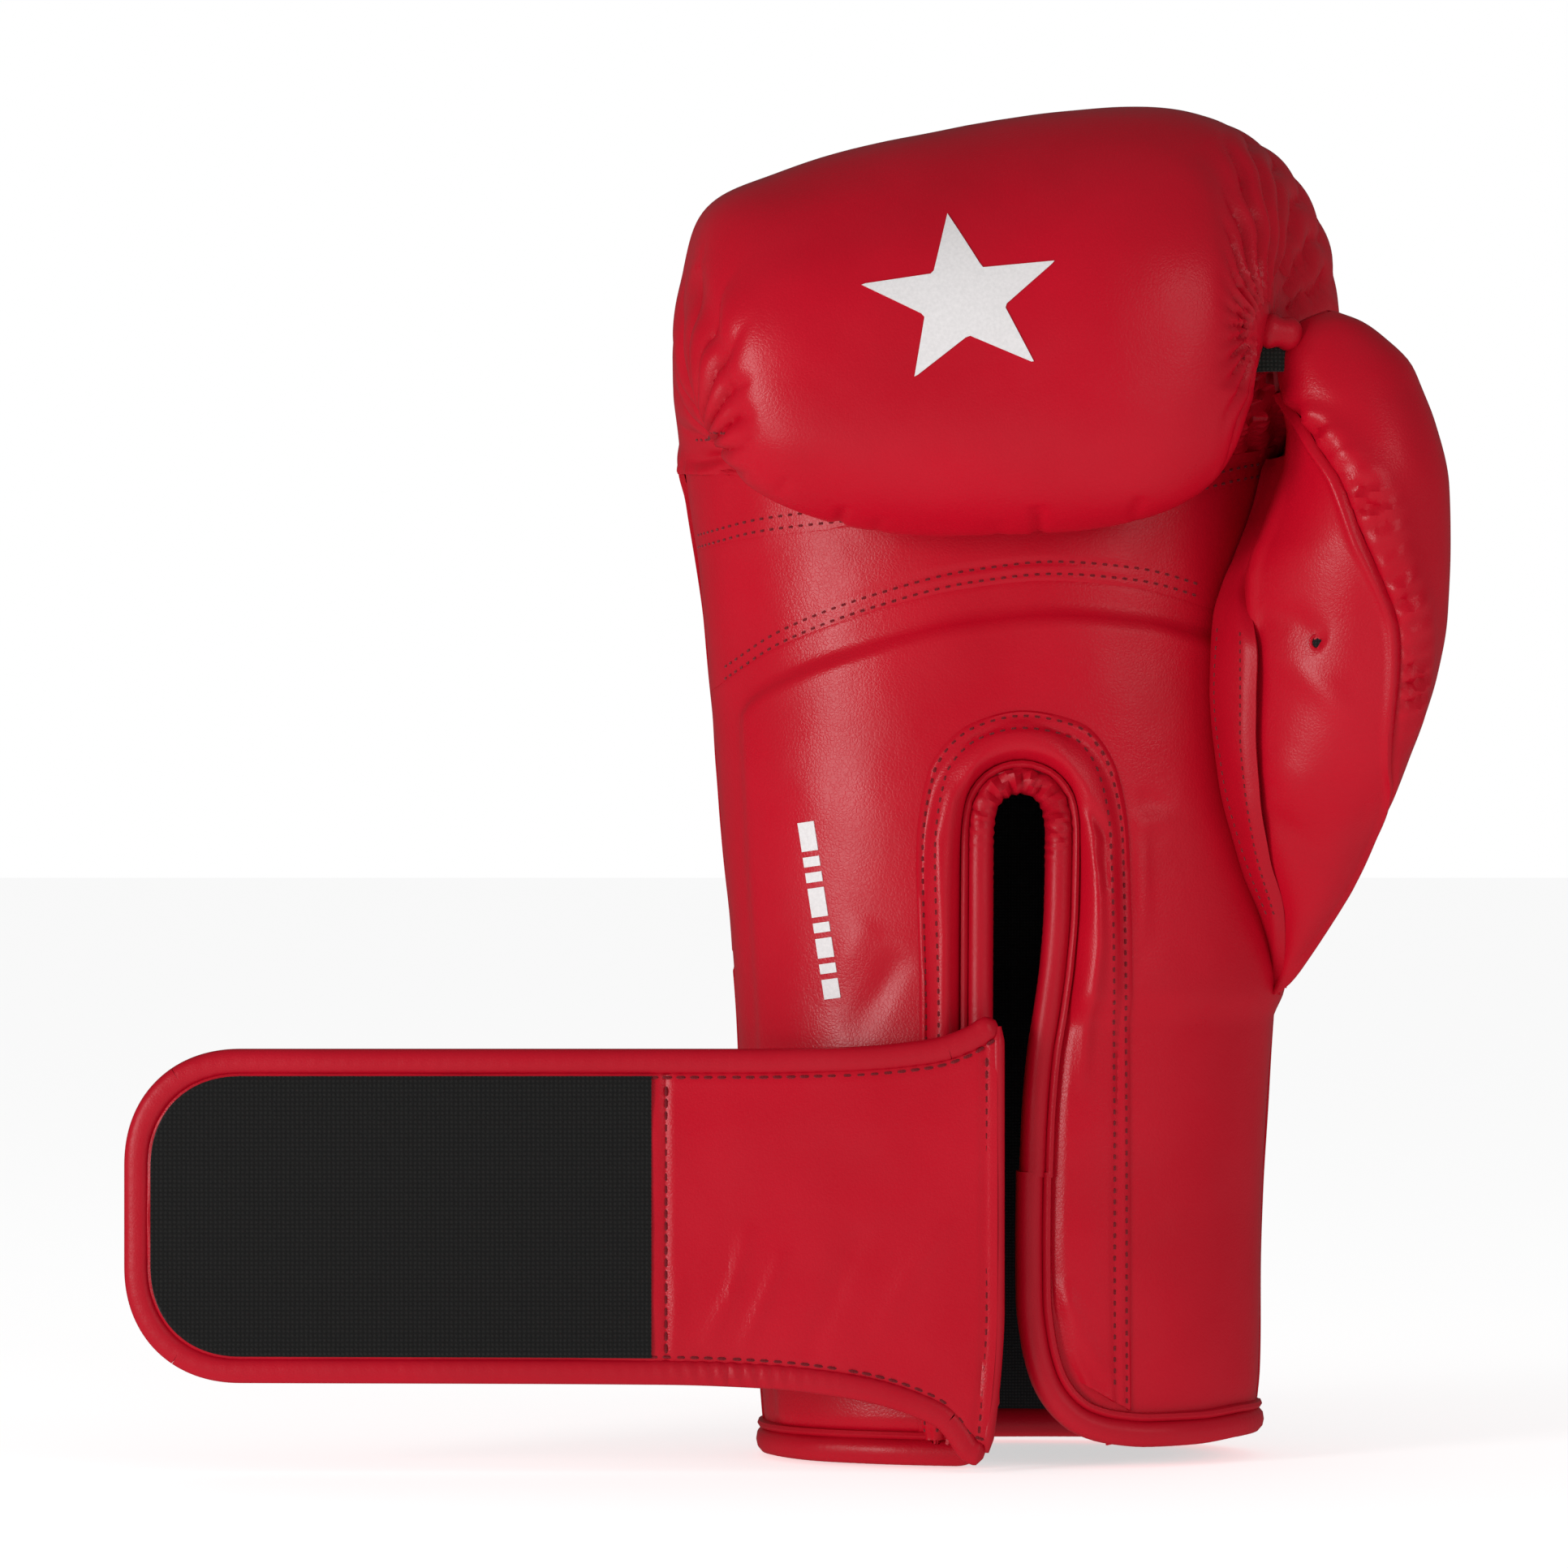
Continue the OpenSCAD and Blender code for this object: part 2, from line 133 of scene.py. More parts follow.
# --------------------------------------------------------------------------- meshes
def make_object(name, vertices, faces, material):
    mesh = bpy.data.meshes.new(name)
    mesh.from_pydata((np.asarray(vertices) * MM).tolist(), [], faces)
    mesh.validate()
    obj = bpy.data.objects.new(name, mesh)
    bpy.context.scene.collection.objects.link(obj)
    work = bmesh.new()
    work.from_mesh(mesh)
    bmesh.ops.remove_doubles(work, verts=work.verts, dist=1e-6)
    bmesh.ops.recalc_face_normals(work, faces=work.faces)
    work.to_mesh(mesh)
    work.free()
    mesh.polygons.foreach_set("use_smooth", [True] * len(mesh.polygons))
    mesh.set_sharp_from_angle(angle=math.radians(50))
    keep_rest(obj)
    mesh.materials.append(material)
    return obj


def keep_rest(obj):
    """Stores where each vertex is at rest, which the materials are mapped by."""
    mesh = obj.data
    co = np.empty(len(mesh.vertices) * 3, np.float32)
    mesh.vertices.foreach_get("co", co)
    store = mesh.attributes.get("rest") or mesh.attributes.new("rest", "FLOAT_VECTOR", "POINT")
    store.data.foreach_set("vector", co)


def unit(v):
    return v / np.maximum(np.linalg.norm(v, axis=-1, keepdims=True), 1e-9)


def grid_normals(points, around=False):
    if around:
        wide = np.concatenate([points[:, -2:-1], points, points[:, 1:2]], 1)
        across = (wide[:, 2:] - wide[:, :-2])
    else:
        across = np.gradient(points, axis=1)
    return unit(np.cross(across, np.gradient(points, axis=0)))


def shell(name, points, lift, thickness, material, keep=None, outward=None, around=False):
    """Closed leather shell over a grid of points (n, m, 3). lift moves its face out along the normal."""
    n, m = points.shape[:2]
    normal = grid_normals(points, around)
    if outward is not None and np.sum(normal * outward) < 0:
        normal = -normal
    face = points + normal * np.asarray(lift)[..., None]
    face_normal = grid_normals(face, around)
    face_normal *= np.sign(np.sum(face_normal * normal, -1, keepdims=True) + 1e-9)
    back = face - face_normal * thickness
    cells = np.ones((n - 1, m - 1), bool) if keep is None else keep
    faces = []
    top = lambda i, j: i * m + j
    low = lambda i, j: n * m + i * m + j
    for i, j in np.argwhere(cells):
        faces.append((top(i, j), top(i, j + 1), top(i + 1, j + 1), top(i + 1, j)))
        faces.append((low(i, j), low(i + 1, j), low(i + 1, j + 1), low(i, j + 1)))
    wide = np.zeros((n + 1, m + 1), bool)
    wide[1:-1, 1:-1] = cells
    for i, j in np.argwhere(wide[1:, 1:-1] != wide[:-1, 1:-1]):
        faces.append((top(i, j), top(i, j + 1), low(i, j + 1), low(i, j)))
    sides = wide[1:-1, 1:] != wide[1:-1, :-1]
    if around:
        sides[:, 0] = sides[:, -1] = False
    for i, j in np.argwhere(sides):
        faces.append((top(i, j), top(i + 1, j), low(i + 1, j), low(i, j)))
    return make_object(name, np.concatenate([face.reshape(-1, 3), back.reshape(-1, 3)]), faces, material)


def sweep(name, path, normal, profile, material):
    """Tube with closed ends. profile is (across, out) points, or one such list for each point of path."""
    path, normal = np.asarray(path, float), unit(np.asarray(normal, float))
    tangent = unit(np.gradient(path, axis=0))
    across = unit(np.cross(tangent, normal))
    out = np.cross(across, tangent)
    profile = np.asarray(profile, float)
    if profile.ndim == 2:
        profile = np.repeat(profile[None], len(path), 0)
    rings = (path[:, None] + across[:, None] * profile[..., :1] + out[:, None] * profile[..., 1:])
    n, m = rings.shape[:2]
    faces = [(i * m + j, i * m + (j + 1) % m, (i + 1) * m + (j + 1) % m, (i + 1) * m + j)
             for i in range(n - 1) for j in range(m)]
    faces += [tuple(range(m))[::-1], tuple((n - 1) * m + j for j in range(m))]
    return make_object(name, rings.reshape(-1, 3), faces, material)


def distances(points):
    """How far along a line of points each of them is."""
    return np.concatenate([[0], np.cumsum(np.linalg.norm(np.diff(points, axis=0), axis=1))])


def resample(points, step):
    """Points every step along a smooth curve through the given ones."""
    points = np.asarray(points, float)
    d = distances(points)
    at = np.linspace(0, d[-1], max(2, int(round(d[-1] / step)) + 1))
    return np.stack([curve(list(zip(d, points[:, k])), at) for k in range(points.shape[1])], 1)


def straight(points, step):
    """Points every step along the straight lines between the given ones."""
    points = np.asarray(points, float)
    d = distances(points)
    at = np.linspace(0, d[-1], max(2, int(round(d[-1] / step)) + 1))
    return np.stack([np.interp(at, d, points[:, k]) for k in range(points.shape[1])], 1)


def line_distance(points, line):
    """Distance from each point to a line of points, and how far along it the nearest place is."""
    flat = points.reshape(-1, points.shape[-1])
    line = np.asarray(line, float)
    best = np.full(len(flat), 1e9)
    along = np.zeros(len(flat))
    for k, (p, q) in enumerate(zip(line[:-1], line[1:])):
        span = q - p
        t = np.clip((flat - p) @ span / max(span @ span, 1e-9), 0, 1)
        d = np.linalg.norm(flat - p - t[:, None] * span, axis=1)
        nearer = d < best
        best = np.where(nearer, d, best)
        along = np.where(nearer, (k + t) / (len(line) - 1), along)
    return best.reshape(points.shape[:-1]), along.reshape(points.shape[:-1])


def crease(points, line, depth, width):
    """Valley along a line that fades out at both ends; a negative depth is a ridge."""
    far, along = line_distance(points, line)
    return -depth * np.exp(-((far / width) ** 2)) * np.sqrt(np.clip(np.sin(np.pi * along), 0, 1))


def ripple(points, scale, seed=0.0):
    """Smooth noise about 0, with waves about scale long."""
    flat = points.reshape(-1, 3) / scale + seed
    return np.array([noise.noise(Vector(p)) for p in flat]).reshape(points.shape[:-1])


def meshes_of(objects):
    """Vertices, in millimetres, and faces of several objects."""
    vertices, faces = [], []
    for o in objects:
        start = len(vertices)
        vertices += [v.co / MM for v in o.data.vertices]
        faces += [[start + i for i in p.vertices] for p in o.data.polygons]
    return vertices, faces


def joined(name, objects):
    """One object made of several, which go."""
    vertices, faces = meshes_of(objects)
    material = objects[0].data.materials[0]
    for o in objects:
        bpy.data.objects.remove(o)
    return make_object(name, vertices, faces, material)


def tree_of(*objects):
    """Ray tree of objects, in millimetres."""
    return BVHTree.FromPolygons(*meshes_of(objects))


def on_front(tree, x, z):
    """Point and normal where a ray along +Y at x and z first meets the tree."""
    hit, normal, _, _ = tree.ray_cast(Vector((x, RAY_FROM, z)), Vector((0, 1, 0)))
    if hit is None:
        return None, None
    normal = np.array(normal)
    return np.array(hit), normal if normal[1] < 0 else -normal


def palmward(line):
    """The direction towards the palm side, once for each point of a line."""
    return np.tile([0, -1.0, 0], (len(line), 1))


def stitches(name, points, normals, material, pitch=2.5, length=1.5, width=0.36, sink=0.1):
    """Row of threads along a line on a surface."""
    points, normals = np.asarray(points), unit(np.asarray(normals))
    d = distances(points)
    count = int(d[-1] / pitch)
    sides = 6
    ring = np.arange(sides) * math.pi / 3
    vertices, faces = [], []
    for k in range(count):
        at = (k + 0.5) * pitch
        mid = np.array([np.interp(at, d, points[:, i]) for i in range(3)])
        ahead = np.array([np.interp(at + 0.5, d, points[:, i]) for i in range(3)])
        up = unit(np.array([np.interp(at, d, normals[:, i]) for i in range(3)]))
        along = unit(ahead - mid + 1e-9)
        side = unit(np.cross(up, along))
        start = len(vertices)
        for t, r in ((-1, 0.35), (-0.55, 0.95), (0.55, 0.95), (1, 0.35)):
            for c in ring:
                vertices.append(mid + along * t * length / 2 + side * math.cos(c) * width * r
                                + up * (math.sin(c) * width * r - sink - (0.25 if abs(t) == 1 else 0)))
        for i in range(3):
            for j in range(sides):
                a, b = start + i * sides + j, start + i * sides + (j + 1) % sides
                faces.append((a, b, b + sides, a + sides))
        faces.append(tuple(start + j for j in range(sides))[::-1])
        faces.append(tuple(start + 3 * sides + j for j in range(sides)))
    return make_object(name, vertices, faces, material)


def front_line(tree, xz):
    """Points and normals of a line in x and z laid on the front of a tree."""
    found = [on_front(tree, x, z) for x, z in resample(xz, 1.0)]
    found = [f for f in found if f[0] is not None]
    return np.array([f[0] for f in found]), np.array([f[1] for f in found])


# --------------------------------------------------------------------------- materials
def new_material(name):
    material = bpy.data.materials.new(name)
    material.use_nodes = True
    nodes = material.node_tree.nodes
    return material, nodes, material.node_tree.links, nodes["Principled BSDF"]


def rest_coords(nodes):
    node = nodes.new("ShaderNodeAttribute")
    node.attribute_name = "rest"
    return node.outputs["Vector"]


def noise_node(nodes, links, coords, scale, detail=3.0, rough=0.5):
    node = nodes.new("ShaderNodeTexNoise")
    node.inputs["Scale"].default_value = scale
    node.inputs["Detail"].default_value = detail
    node.inputs["Roughness"].default_value = rough
    links.new(coords, node.inputs["Vector"])
    return node.outputs["Fac"]


def span_node(nodes, links, value, low, high, start=0.3, end=0.7):
    node = nodes.new("ShaderNodeMapRange")
    node.inputs["From Min"].default_value = start
    node.inputs["From Max"].default_value = end
    node.inputs["To Min"].default_value = low
    node.inputs["To Max"].default_value = high
    links.new(value, node.inputs["Value"])
    return node.outputs["Result"]


def mix_colors(nodes, links, factor, low, high):
    node = nodes.new("ShaderNodeMix")
    node.data_type = "RGBA"
    node.inputs[6].default_value = (*low, 1)
    node.inputs[7].default_value = (*high, 1)
    links.new(factor, node.inputs[0])
    return node.outputs[2]


def bump_node(nodes, links, height, strength, distance, under=None):
    node = nodes.new("ShaderNodeBump")
    node.inputs["Strength"].default_value = strength
    node.inputs["Distance"].default_value = distance
    links.new(height, node.inputs["Height"])
    if under is not None:
        links.new(under, node.inputs["Normal"])
    return node.outputs["Normal"]


def leather(name, low, high, rough=(0.27, 0.35), grain=0.3):
    """Coated leather: pebbled grain, fine pores, slow colour and gloss changes, faint creasing."""
    material, nodes, links, shader = new_material(name)
    coords = rest_coords(nodes)
    cloudy = noise_node(nodes, links, coords, 28, 2)
    links.new(mix_colors(nodes, links, span_node(nodes, links, cloudy, 0, 1), low, high),
              shader.inputs["Base Color"])
    links.new(span_node(nodes, links, noise_node(nodes, links, coords, 60, 4), *rough),
              shader.inputs["Roughness"])
    shader.inputs["Specular IOR Level"].default_value = 0.25
    soft = bump_node(nodes, links, noise_node(nodes, links, coords, 95, 3, 0.55), 0.25, 0.0006)
    pebble = nodes.new("ShaderNodeTexVoronoi")
    pebble.feature = "DISTANCE_TO_EDGE"
    pebble.inputs["Scale"].default_value = 1150
    links.new(coords, pebble.inputs["Vector"])
    grained = bump_node(nodes, links, span_node(nodes, links, pebble.outputs["Distance"], 0, 1, 0, 0.25),
                        grain, 0.00006, soft)
    pores = noise_node(nodes, links, coords, 3200, 2)
    links.new(bump_node(nodes, links, pores, grain * 0.6, 0.00004, grained), shader.inputs["Normal"])
    return material


def woven(name, dark, light, pitch, strength=0.5, rough=0.85):
    """Cloth or pile with a fine two-way weave in x and z."""
    material, nodes, links, shader = new_material(name)
    coords = rest_coords(nodes)
    heights = []
    for direction in ("X", "Z"):
        wave = nodes.new("ShaderNodeTexWave")
        wave.bands_direction = direction
        wave.inputs["Scale"].default_value = 0.314 / (pitch * MM)
        wave.inputs["Distortion"].default_value = 0.6
        wave.inputs["Detail"].default_value = 1.0
        links.new(coords, wave.inputs["Vector"])
        heights.append(wave.outputs["Fac"])
    both = nodes.new("ShaderNodeMath")
    both.operation = "MULTIPLY"
    links.new(heights[0], both.inputs[0])
    links.new(heights[1], both.inputs[1])
    fuzz = noise_node(nodes, links, coords, 2600, 3, 0.7)
    total = nodes.new("ShaderNodeMath")
    links.new(both.outputs[0], total.inputs[0])
    links.new(fuzz, total.inputs[1])
    lightness = span_node(nodes, links, total.outputs[0], 0, 1, 0.4, 1.3)
    links.new(mix_colors(nodes, links, lightness, dark, light), shader.inputs["Base Color"])
    shader.inputs["Roughness"].default_value = rough
    shader.inputs["Specular IOR Level"].default_value = 0.25
    shader.inputs["Sheen Weight"].default_value = 0.12
    links.new(bump_node(nodes, links, total.outputs[0], strength, 0.00025), shader.inputs["Normal"])
    return material


def printed(name, color):
    material, nodes, links, shader = new_material(name)
    coords = rest_coords(nodes)
    worn = noise_node(nodes, links, coords, 1400, 4)
    dim = tuple(c * 0.9 for c in color)
    links.new(mix_colors(nodes, links, span_node(nodes, links, worn, 0, 1), dim, color),
              shader.inputs["Base Color"])
    shader.inputs["Roughness"].default_value = 0.5
    links.new(bump_node(nodes, links, worn, 0.15, 0.00005), shader.inputs["Normal"])
    return material


RED = leather("red_leather", (0.455, 0.0022, 0.0135), (0.505, 0.0030, 0.0165))
BOUND = leather("red_binding", (0.42, 0.0018, 0.0125), (0.46, 0.0024, 0.015), (0.34, 0.42), 0.25)
THREAD = woven("red_thread", (0.17, 0.0006, 0.006), (0.27, 0.001, 0.009), 0.3, 0.8, 0.9)
LINING = woven("black_lining", (0.006, 0.006, 0.007), (0.02, 0.02, 0.021), 0.7)
WEBBING = woven("black_webbing", (0.004, 0.006, 0.004), (0.02, 0.024, 0.02), 0.9, 0.8)
HOOKS = woven("black_hooks", (0.0035, 0.0034, 0.0033), (0.012, 0.0115, 0.011), 1.0, 0.8)
PILE = woven("red_pile", (0.14, 0.002, 0.008), (0.30, 0.006, 0.02), 1.1, 1.0)
WHITE = printed("white_print", (0.79, 0.76, 0.76))


# --------------------------------------------------------------------------- lines on the palm side, (x, z)
SEAM_A = [(-74, 203.5), (-69, 204.3), (-56, 207), (-39, 208.8), (0, 212), (28, 213.3), (56, 219.6), (64, 221)]
SEAM_B = [(-70, 170), (-63, 174.6), (-51.5, 181.8), (-30, 189.9), (-8, 195.3), (10, 197.1), (28, 195.8),
          (46, 191.2), (62, 186)]
PAD_TOP = [(-62, 166), (-58, 172), (-51.5, 176.5), (-30, 184.5), (-8, 190), (10, 191.5), (30, 190), (46, 186)]
PAD_SIDE = [(6, -53), (60, -56), (105, -58), (150, -61), (196, -63)]
SLIT_LEFT = [(-7.4, 1.6), (-5.8, 14), (-4.4, 30), (-4.0, 60), (-4.0, 100), (-3.9, 125), (-3.8, 140)]
SLIT_ARCH = [(-3.8, 140), (-3.1, 146.2), (-0.8, 149.2), (2.2, 150), (5.1, 149.2), (7.3, 146.4), (7.9, 141)]
SLIT_RIGHT = [(7.9, 141), (7.6, 125), (6.6, 112), (5.2, 102), (3.6, 92), (2.4, 78), (1.9, 65)]
FLAP_EDGE = [(1.2, 66), (1.0, 50), (1.1, 38), (2.2, 28), (4.6, 19), (8.5, 12.5), (14.5, 7.6), (22, 5.2),
             (31, 4.3), (42, 4.4), (51, 5.2)]
FACING_OUT = [(-20.5, 8), (-20.5, 60), (-20.2, 100.8), (-21, 136.8), (-18.4, 155), (-9, 165.6), (2.5, 168.4),
              (15.8, 165.6), (23.4, 155), (26, 140.4), (26.8, 100), (27, 60), (27, 12.6)]
LEFT_RIM = [(-53, 0.5), (-30, 0.5), (-12, 0.4), (-8.4, 1.4), (-7.2, 4)]
EDGE_LINE = LEFT_RIM + SLIT_LEFT[1:] + SLIT_ARCH[1:-1] + SLIT_RIGHT + FLAP_EDGE[1:]
BAND = 7.0


def beside_band(points):
    """Nought on the bound edges of the slit and the cuff, one well away from them."""
    far = line_distance(points[..., [0, 2]], np.array(EDGE_LINE, float))[0]
    return smooth((far - BAND + 0.4) / 3.4)


def along(s0, s1, step=1.5):
    return np.linspace(s0, s1, int(abs(s1 - s0) / step) + 1)


def arc_columns(a0, a1, step, s=150):
    """Ring angles spaced evenly round the ring at station s."""
    fine = np.linspace(a0, a1, 1200)
    ring = hand(np.full_like(fine, s), fine)
    d = distances(ring)
    return np.interp(np.linspace(0, d[-1], int(d[-1] / step) + 1), d, fine)


def outward_of(s, a):
    return hand(s, a) - hand(s, a, 3.0)


def hand_normal(s, a):
    """Unit normals of the hand's surface, pointing out of it."""
    s, a = np.asarray(s, float), np.asarray(a, float)
    up = hand(s + 0.5, a) - hand(s - 0.5, a)
    side = hand(s, a + 0.5) - hand(s, a - 0.5)
    normal = unit(np.cross(side, up))
    return normal * np.sign(np.sum(normal * outward_of(s, a), -1, keepdims=True))


def front_only(points, value):
    """Keeps a relief on what faces the palm side."""
    return value * smooth((-30 - points[..., 1]) / 12)


def flat_crease(points, line, depth, width):
    return front_only(points, crease(points[..., [0, 2]], np.array(line, float), depth, width))


def edge_round(distance, drop, radius):
    """Lowers a face towards an edge that is distance away."""
    t = np.clip(distance / radius, 0, 1)
    return -drop * (1 - np.sqrt(1 - (1 - t) ** 2))


# --------------------------------------------------------------------------- the fist
def fan(points, focus, count, depth, near, far, lean):
    """Gathers that spread from a focus over the shoulder of the fist."""
    away = points - np.array(focus)
    r = np.linalg.norm(away, axis=-1)
    across = away[..., 0] * lean[0] + away[..., 1] * lean[1]
    angle = np.arctan2(across, away[..., 2])
    wobble = 0.35 * np.sin(r / 5.0) + 0.25 * np.sin(r / 2.3 + 1)
    wave = np.abs(np.sin(angle * count / 2 + wobble)) ** 0.7
    return -depth * (1 - wave) * smooth((r - near) / 6) * smooth((far - r) / (far * 0.6))


def build_fist():
    s = np.concatenate([along(CUFF_SEAM, CREASE_Z, 2.2), along(223.1, 470, 1.15)])
    a = np.concatenate([arc_columns(0, 180, 1.7, 240), np.linspace(180, 360, 64)[1:-1], [360]])
    ss, aa = np.meshgrid(s, a, indexing="ij")
    points = hand(ss, aa)
    points = np.concatenate([points, np.repeat(points[-1:].mean(1, keepdims=True), len(a), 1)])
    ss = np.concatenate([ss, ss[-1:] + 4])
    aa = np.concatenate([aa, aa[-1:]])
    outward = outward_of(np.minimum(ss, 469), aa)
    lift = 0.55 * ripple(points, 34) + 0.2 * ripple(points, 13, 4.0)
    right_side = smooth((points[..., 0] - 44) / 10)
    left_side = smooth((-56 - points[..., 0]) / 8)
    lift += right_side * fan(points, (55, -52, 252), 25, 2.8, 4, 78, (1.0, 0.55))
    lift += left_side * fan(points, (-71, -46, 226), 19, 1.9, 2, 54, (-0.8, 0.5))
    lift += flat_crease(points, [(-60, 226), (-65.5, 240), (-68, 254), (-70.5, 266)], 2.4, 3.2)
    lift += flat_crease(points, [(50, 238), (51.5, 252), (51.7, 268), (49, 284), (43, 294)], 2.2, 4.5)
    for x, z, dx, dz, depth in ((-39, 207, 2, 6, 0.9), (6, 206, -1, 7, 1.1), (-30, 207, 1, 4, 0.4),
                                (-3, 206, 0, 4, 0.4), (26, 210, 2, 5, 0.5), (-52, 215, 3, 4, 0.4)):
        lift += flat_crease(points, [(x, z), (x + dx / 2, z + dz / 2), (x + dx, z + dz)], depth, 1.3)
    lift += 3.4 * np.exp(-(((points[..., 0] + 66) / 12) ** 2) - ((points[..., 2] - 279) / 10) ** 2)
    low_edge = np.abs(ss - 228)
    gathered = np.clip(1 - low_edge / 9, 0, 1) * smooth((-60 - points[..., 0]) / 5)
    lift += gathered * (0.9 + 0.55 * np.sin(points[..., 1] / 0.55 + points[..., 0] / 0.6))
    keep = np.ones((len(ss) - 1, len(a) - 1), bool)
    front = (a[1:] + a[:-1]) / 2 > 180
    keep[(ss[:-1, 0] < 226)[:, None] & front[None, :]] = False
    seam = np.minimum(np.abs(ss - CUFF_SEAM), 40)
    lift += edge_round(seam, 1.0, 2.5)
    return shell("fist_cover_leather", points, lift, 1.3, RED, keep, outward, around=True)


# --------------------------------------------------------------------------- panels of the palm and the cuff
def in_slit(x, z, grow):
    """Whether a place on the palm side lies in the slit or past the flap's round corner."""
    left = np.interp(z, [0, 14, 30, 140, 150], [-7.4, -5.8, -4.4, -3.8, -3.8])
    right = np.interp(z, [38, 65, 78, 92, 102, 112, 125, 141], [1.1, 1.9, 2.4, 3.6, 5.2, 6.6, 7.6, 7.9])
    shaft = (z < 143) & (x > left - grow) & (x < right + grow)
    arch = (z >= 143) & (np.hypot(x - 2, z - 143) < 6.5 + grow)
    corner_x = np.interp(z, [4.3, 5.2, 7.6, 12.5, 19, 28, 38], [31, 22, 14.5, 8.5, 4.6, 2.2, 1.1])
    corner = (z < 38) & (x > -2) & (x < corner_x + grow)
    return shaft | arch | corner


def under_strap(points):
    """One where the closed strap lies on the palm side, nought elsewhere."""
    x, z = points[..., 0], points[..., 2]
    return smooth((x - 1) / 5) * smooth((106 - z) / 8) * smooth((z - 8) / 6)


def palm_relief(points):
    x, z = points[..., 0], points[..., 2]
    inside = np.minimum(x - curve(PAD_SIDE, z), curve(PAD_TOP, x) - z)
    lift = 1.9 * smooth(inside / 4) * (z < 200) - 0.3
    lift = lift + 0.5 * ripple(points, 30, 2.0) + 0.15 * ripple(points, 11, 6.0)
    for line, depth, width in (
            ([(-49, 96), (-41, 107), (-31, 122)], -1.9, 3.6),
            ([(-36, 96), (-29, 106), (-24, 115)], 1.5, 3.2),
            ([(-54, 100), (-50, 108), (-46, 118)], 1.0, 3.0),
            ([(26, 143), (33, 143.5), (42, 141.5)], -1.5, 1.7),
            ([(33, 144), (38.5, 149), (42, 157)], -1.4, 1.9),
            ([(36, 139), (41, 134), (43, 127)], 1.2, 2.6),
            ([(28, 149), (33, 147.5), (37, 145)], 1.2, 1.8),
            ([(28.6, 144), (28.8, 132), (28.6, 116)], -1.2, 1.5),
            ([(-67, 212), (-58, 218), (-52, 224)], 1.2, 3.0),
            ([(-62, 195), (-46, 200), (-38, 206)], -1.4, 3.6),
            ([(-60, 176), (-52, 181), (-44, 184.5)], 1.2, 1.8),
            ([(38, 122), (45, 106), (50, 94)], 0.8, 4.0),
            ([(44, 130), (49, 112), (54, 98)], -0.7, 4.0)):
        lift = lift + flat_crease(points, line, depth, width)
    covered = under_strap(points)
    lift = lift * (1 - covered) - 0.4 * covered
    clear = beside_band(points)
    return lift * clear - 0.6 * (1 - clear)


def front_panel(name, low, high, relief, keep_out=None):
    """Panel of the palm side between two lines of stations, each a function of x."""
    step = 1.6
    a = arc_columns(179, 361, step)
    x = hand(np.full_like(a, 150.0), a)[:, 0]
    v = np.linspace(0, 1, int((np.max(high(x)) - np.min(low(x))) / step) + 2)[:, None]
    ss = low(x)[None] * (1 - v) + high(x)[None] * v
    aa = np.repeat(a[None], len(v), 0)
    points = hand(ss, aa)
    lift = relief(points, (ss - low(x)[None]), (high(x)[None] - ss))
    keep = None
    if keep_out is not None:
        mid = (points[:-1, :-1] + points[1:, 1:]) / 2
        keep = ~keep_out(mid[..., 0], mid[..., 2])
    return shell(name, points, lift, 1.2, RED, keep, outward_of(ss, aa))


def build_palm():
    rim = lambda x: np.interp(x, [-60, 8, 30, 60], [2.5, 2.5, 6.5, 7.0])
    seam_a = lambda x: curve(SEAM_A, x)
    seam_b = lambda x: curve(SEAM_B, x)
    tuck = lambda to_top: -1.5 * smooth((3.5 - to_top) / 3.5)
    low = front_panel("lower_palm_leather", rim, lambda x: seam_b(x) + 3.5,
                      lambda p, d0, d1: palm_relief(p) + tuck(d1),
                      keep_out=lambda x, z: in_slit(x, z, 2.4))
    lap = lambda d0: 0.75 + edge_round(d0, 0.9, 1.2) - 0.5 * np.exp(-(((d0 - 1.6) / 0.8) ** 2)) \
        - 0.5 * np.exp(-(((d0 - 4.3) / 0.8) ** 2))
    middle = front_panel("middle_palm_leather", seam_b, lambda x: seam_a(x) + 3.5,
                         lambda p, d0, d1: palm_relief(p) + front_only(p, lap(d0)) + tuck(d1))
    upper = front_panel("upper_palm_leather", seam_a, lambda x: np.full_like(x, 230.0),
                        lambda p, d0, d1: palm_relief(p) + front_only(p, lap(d0)))
    return low, middle, upper


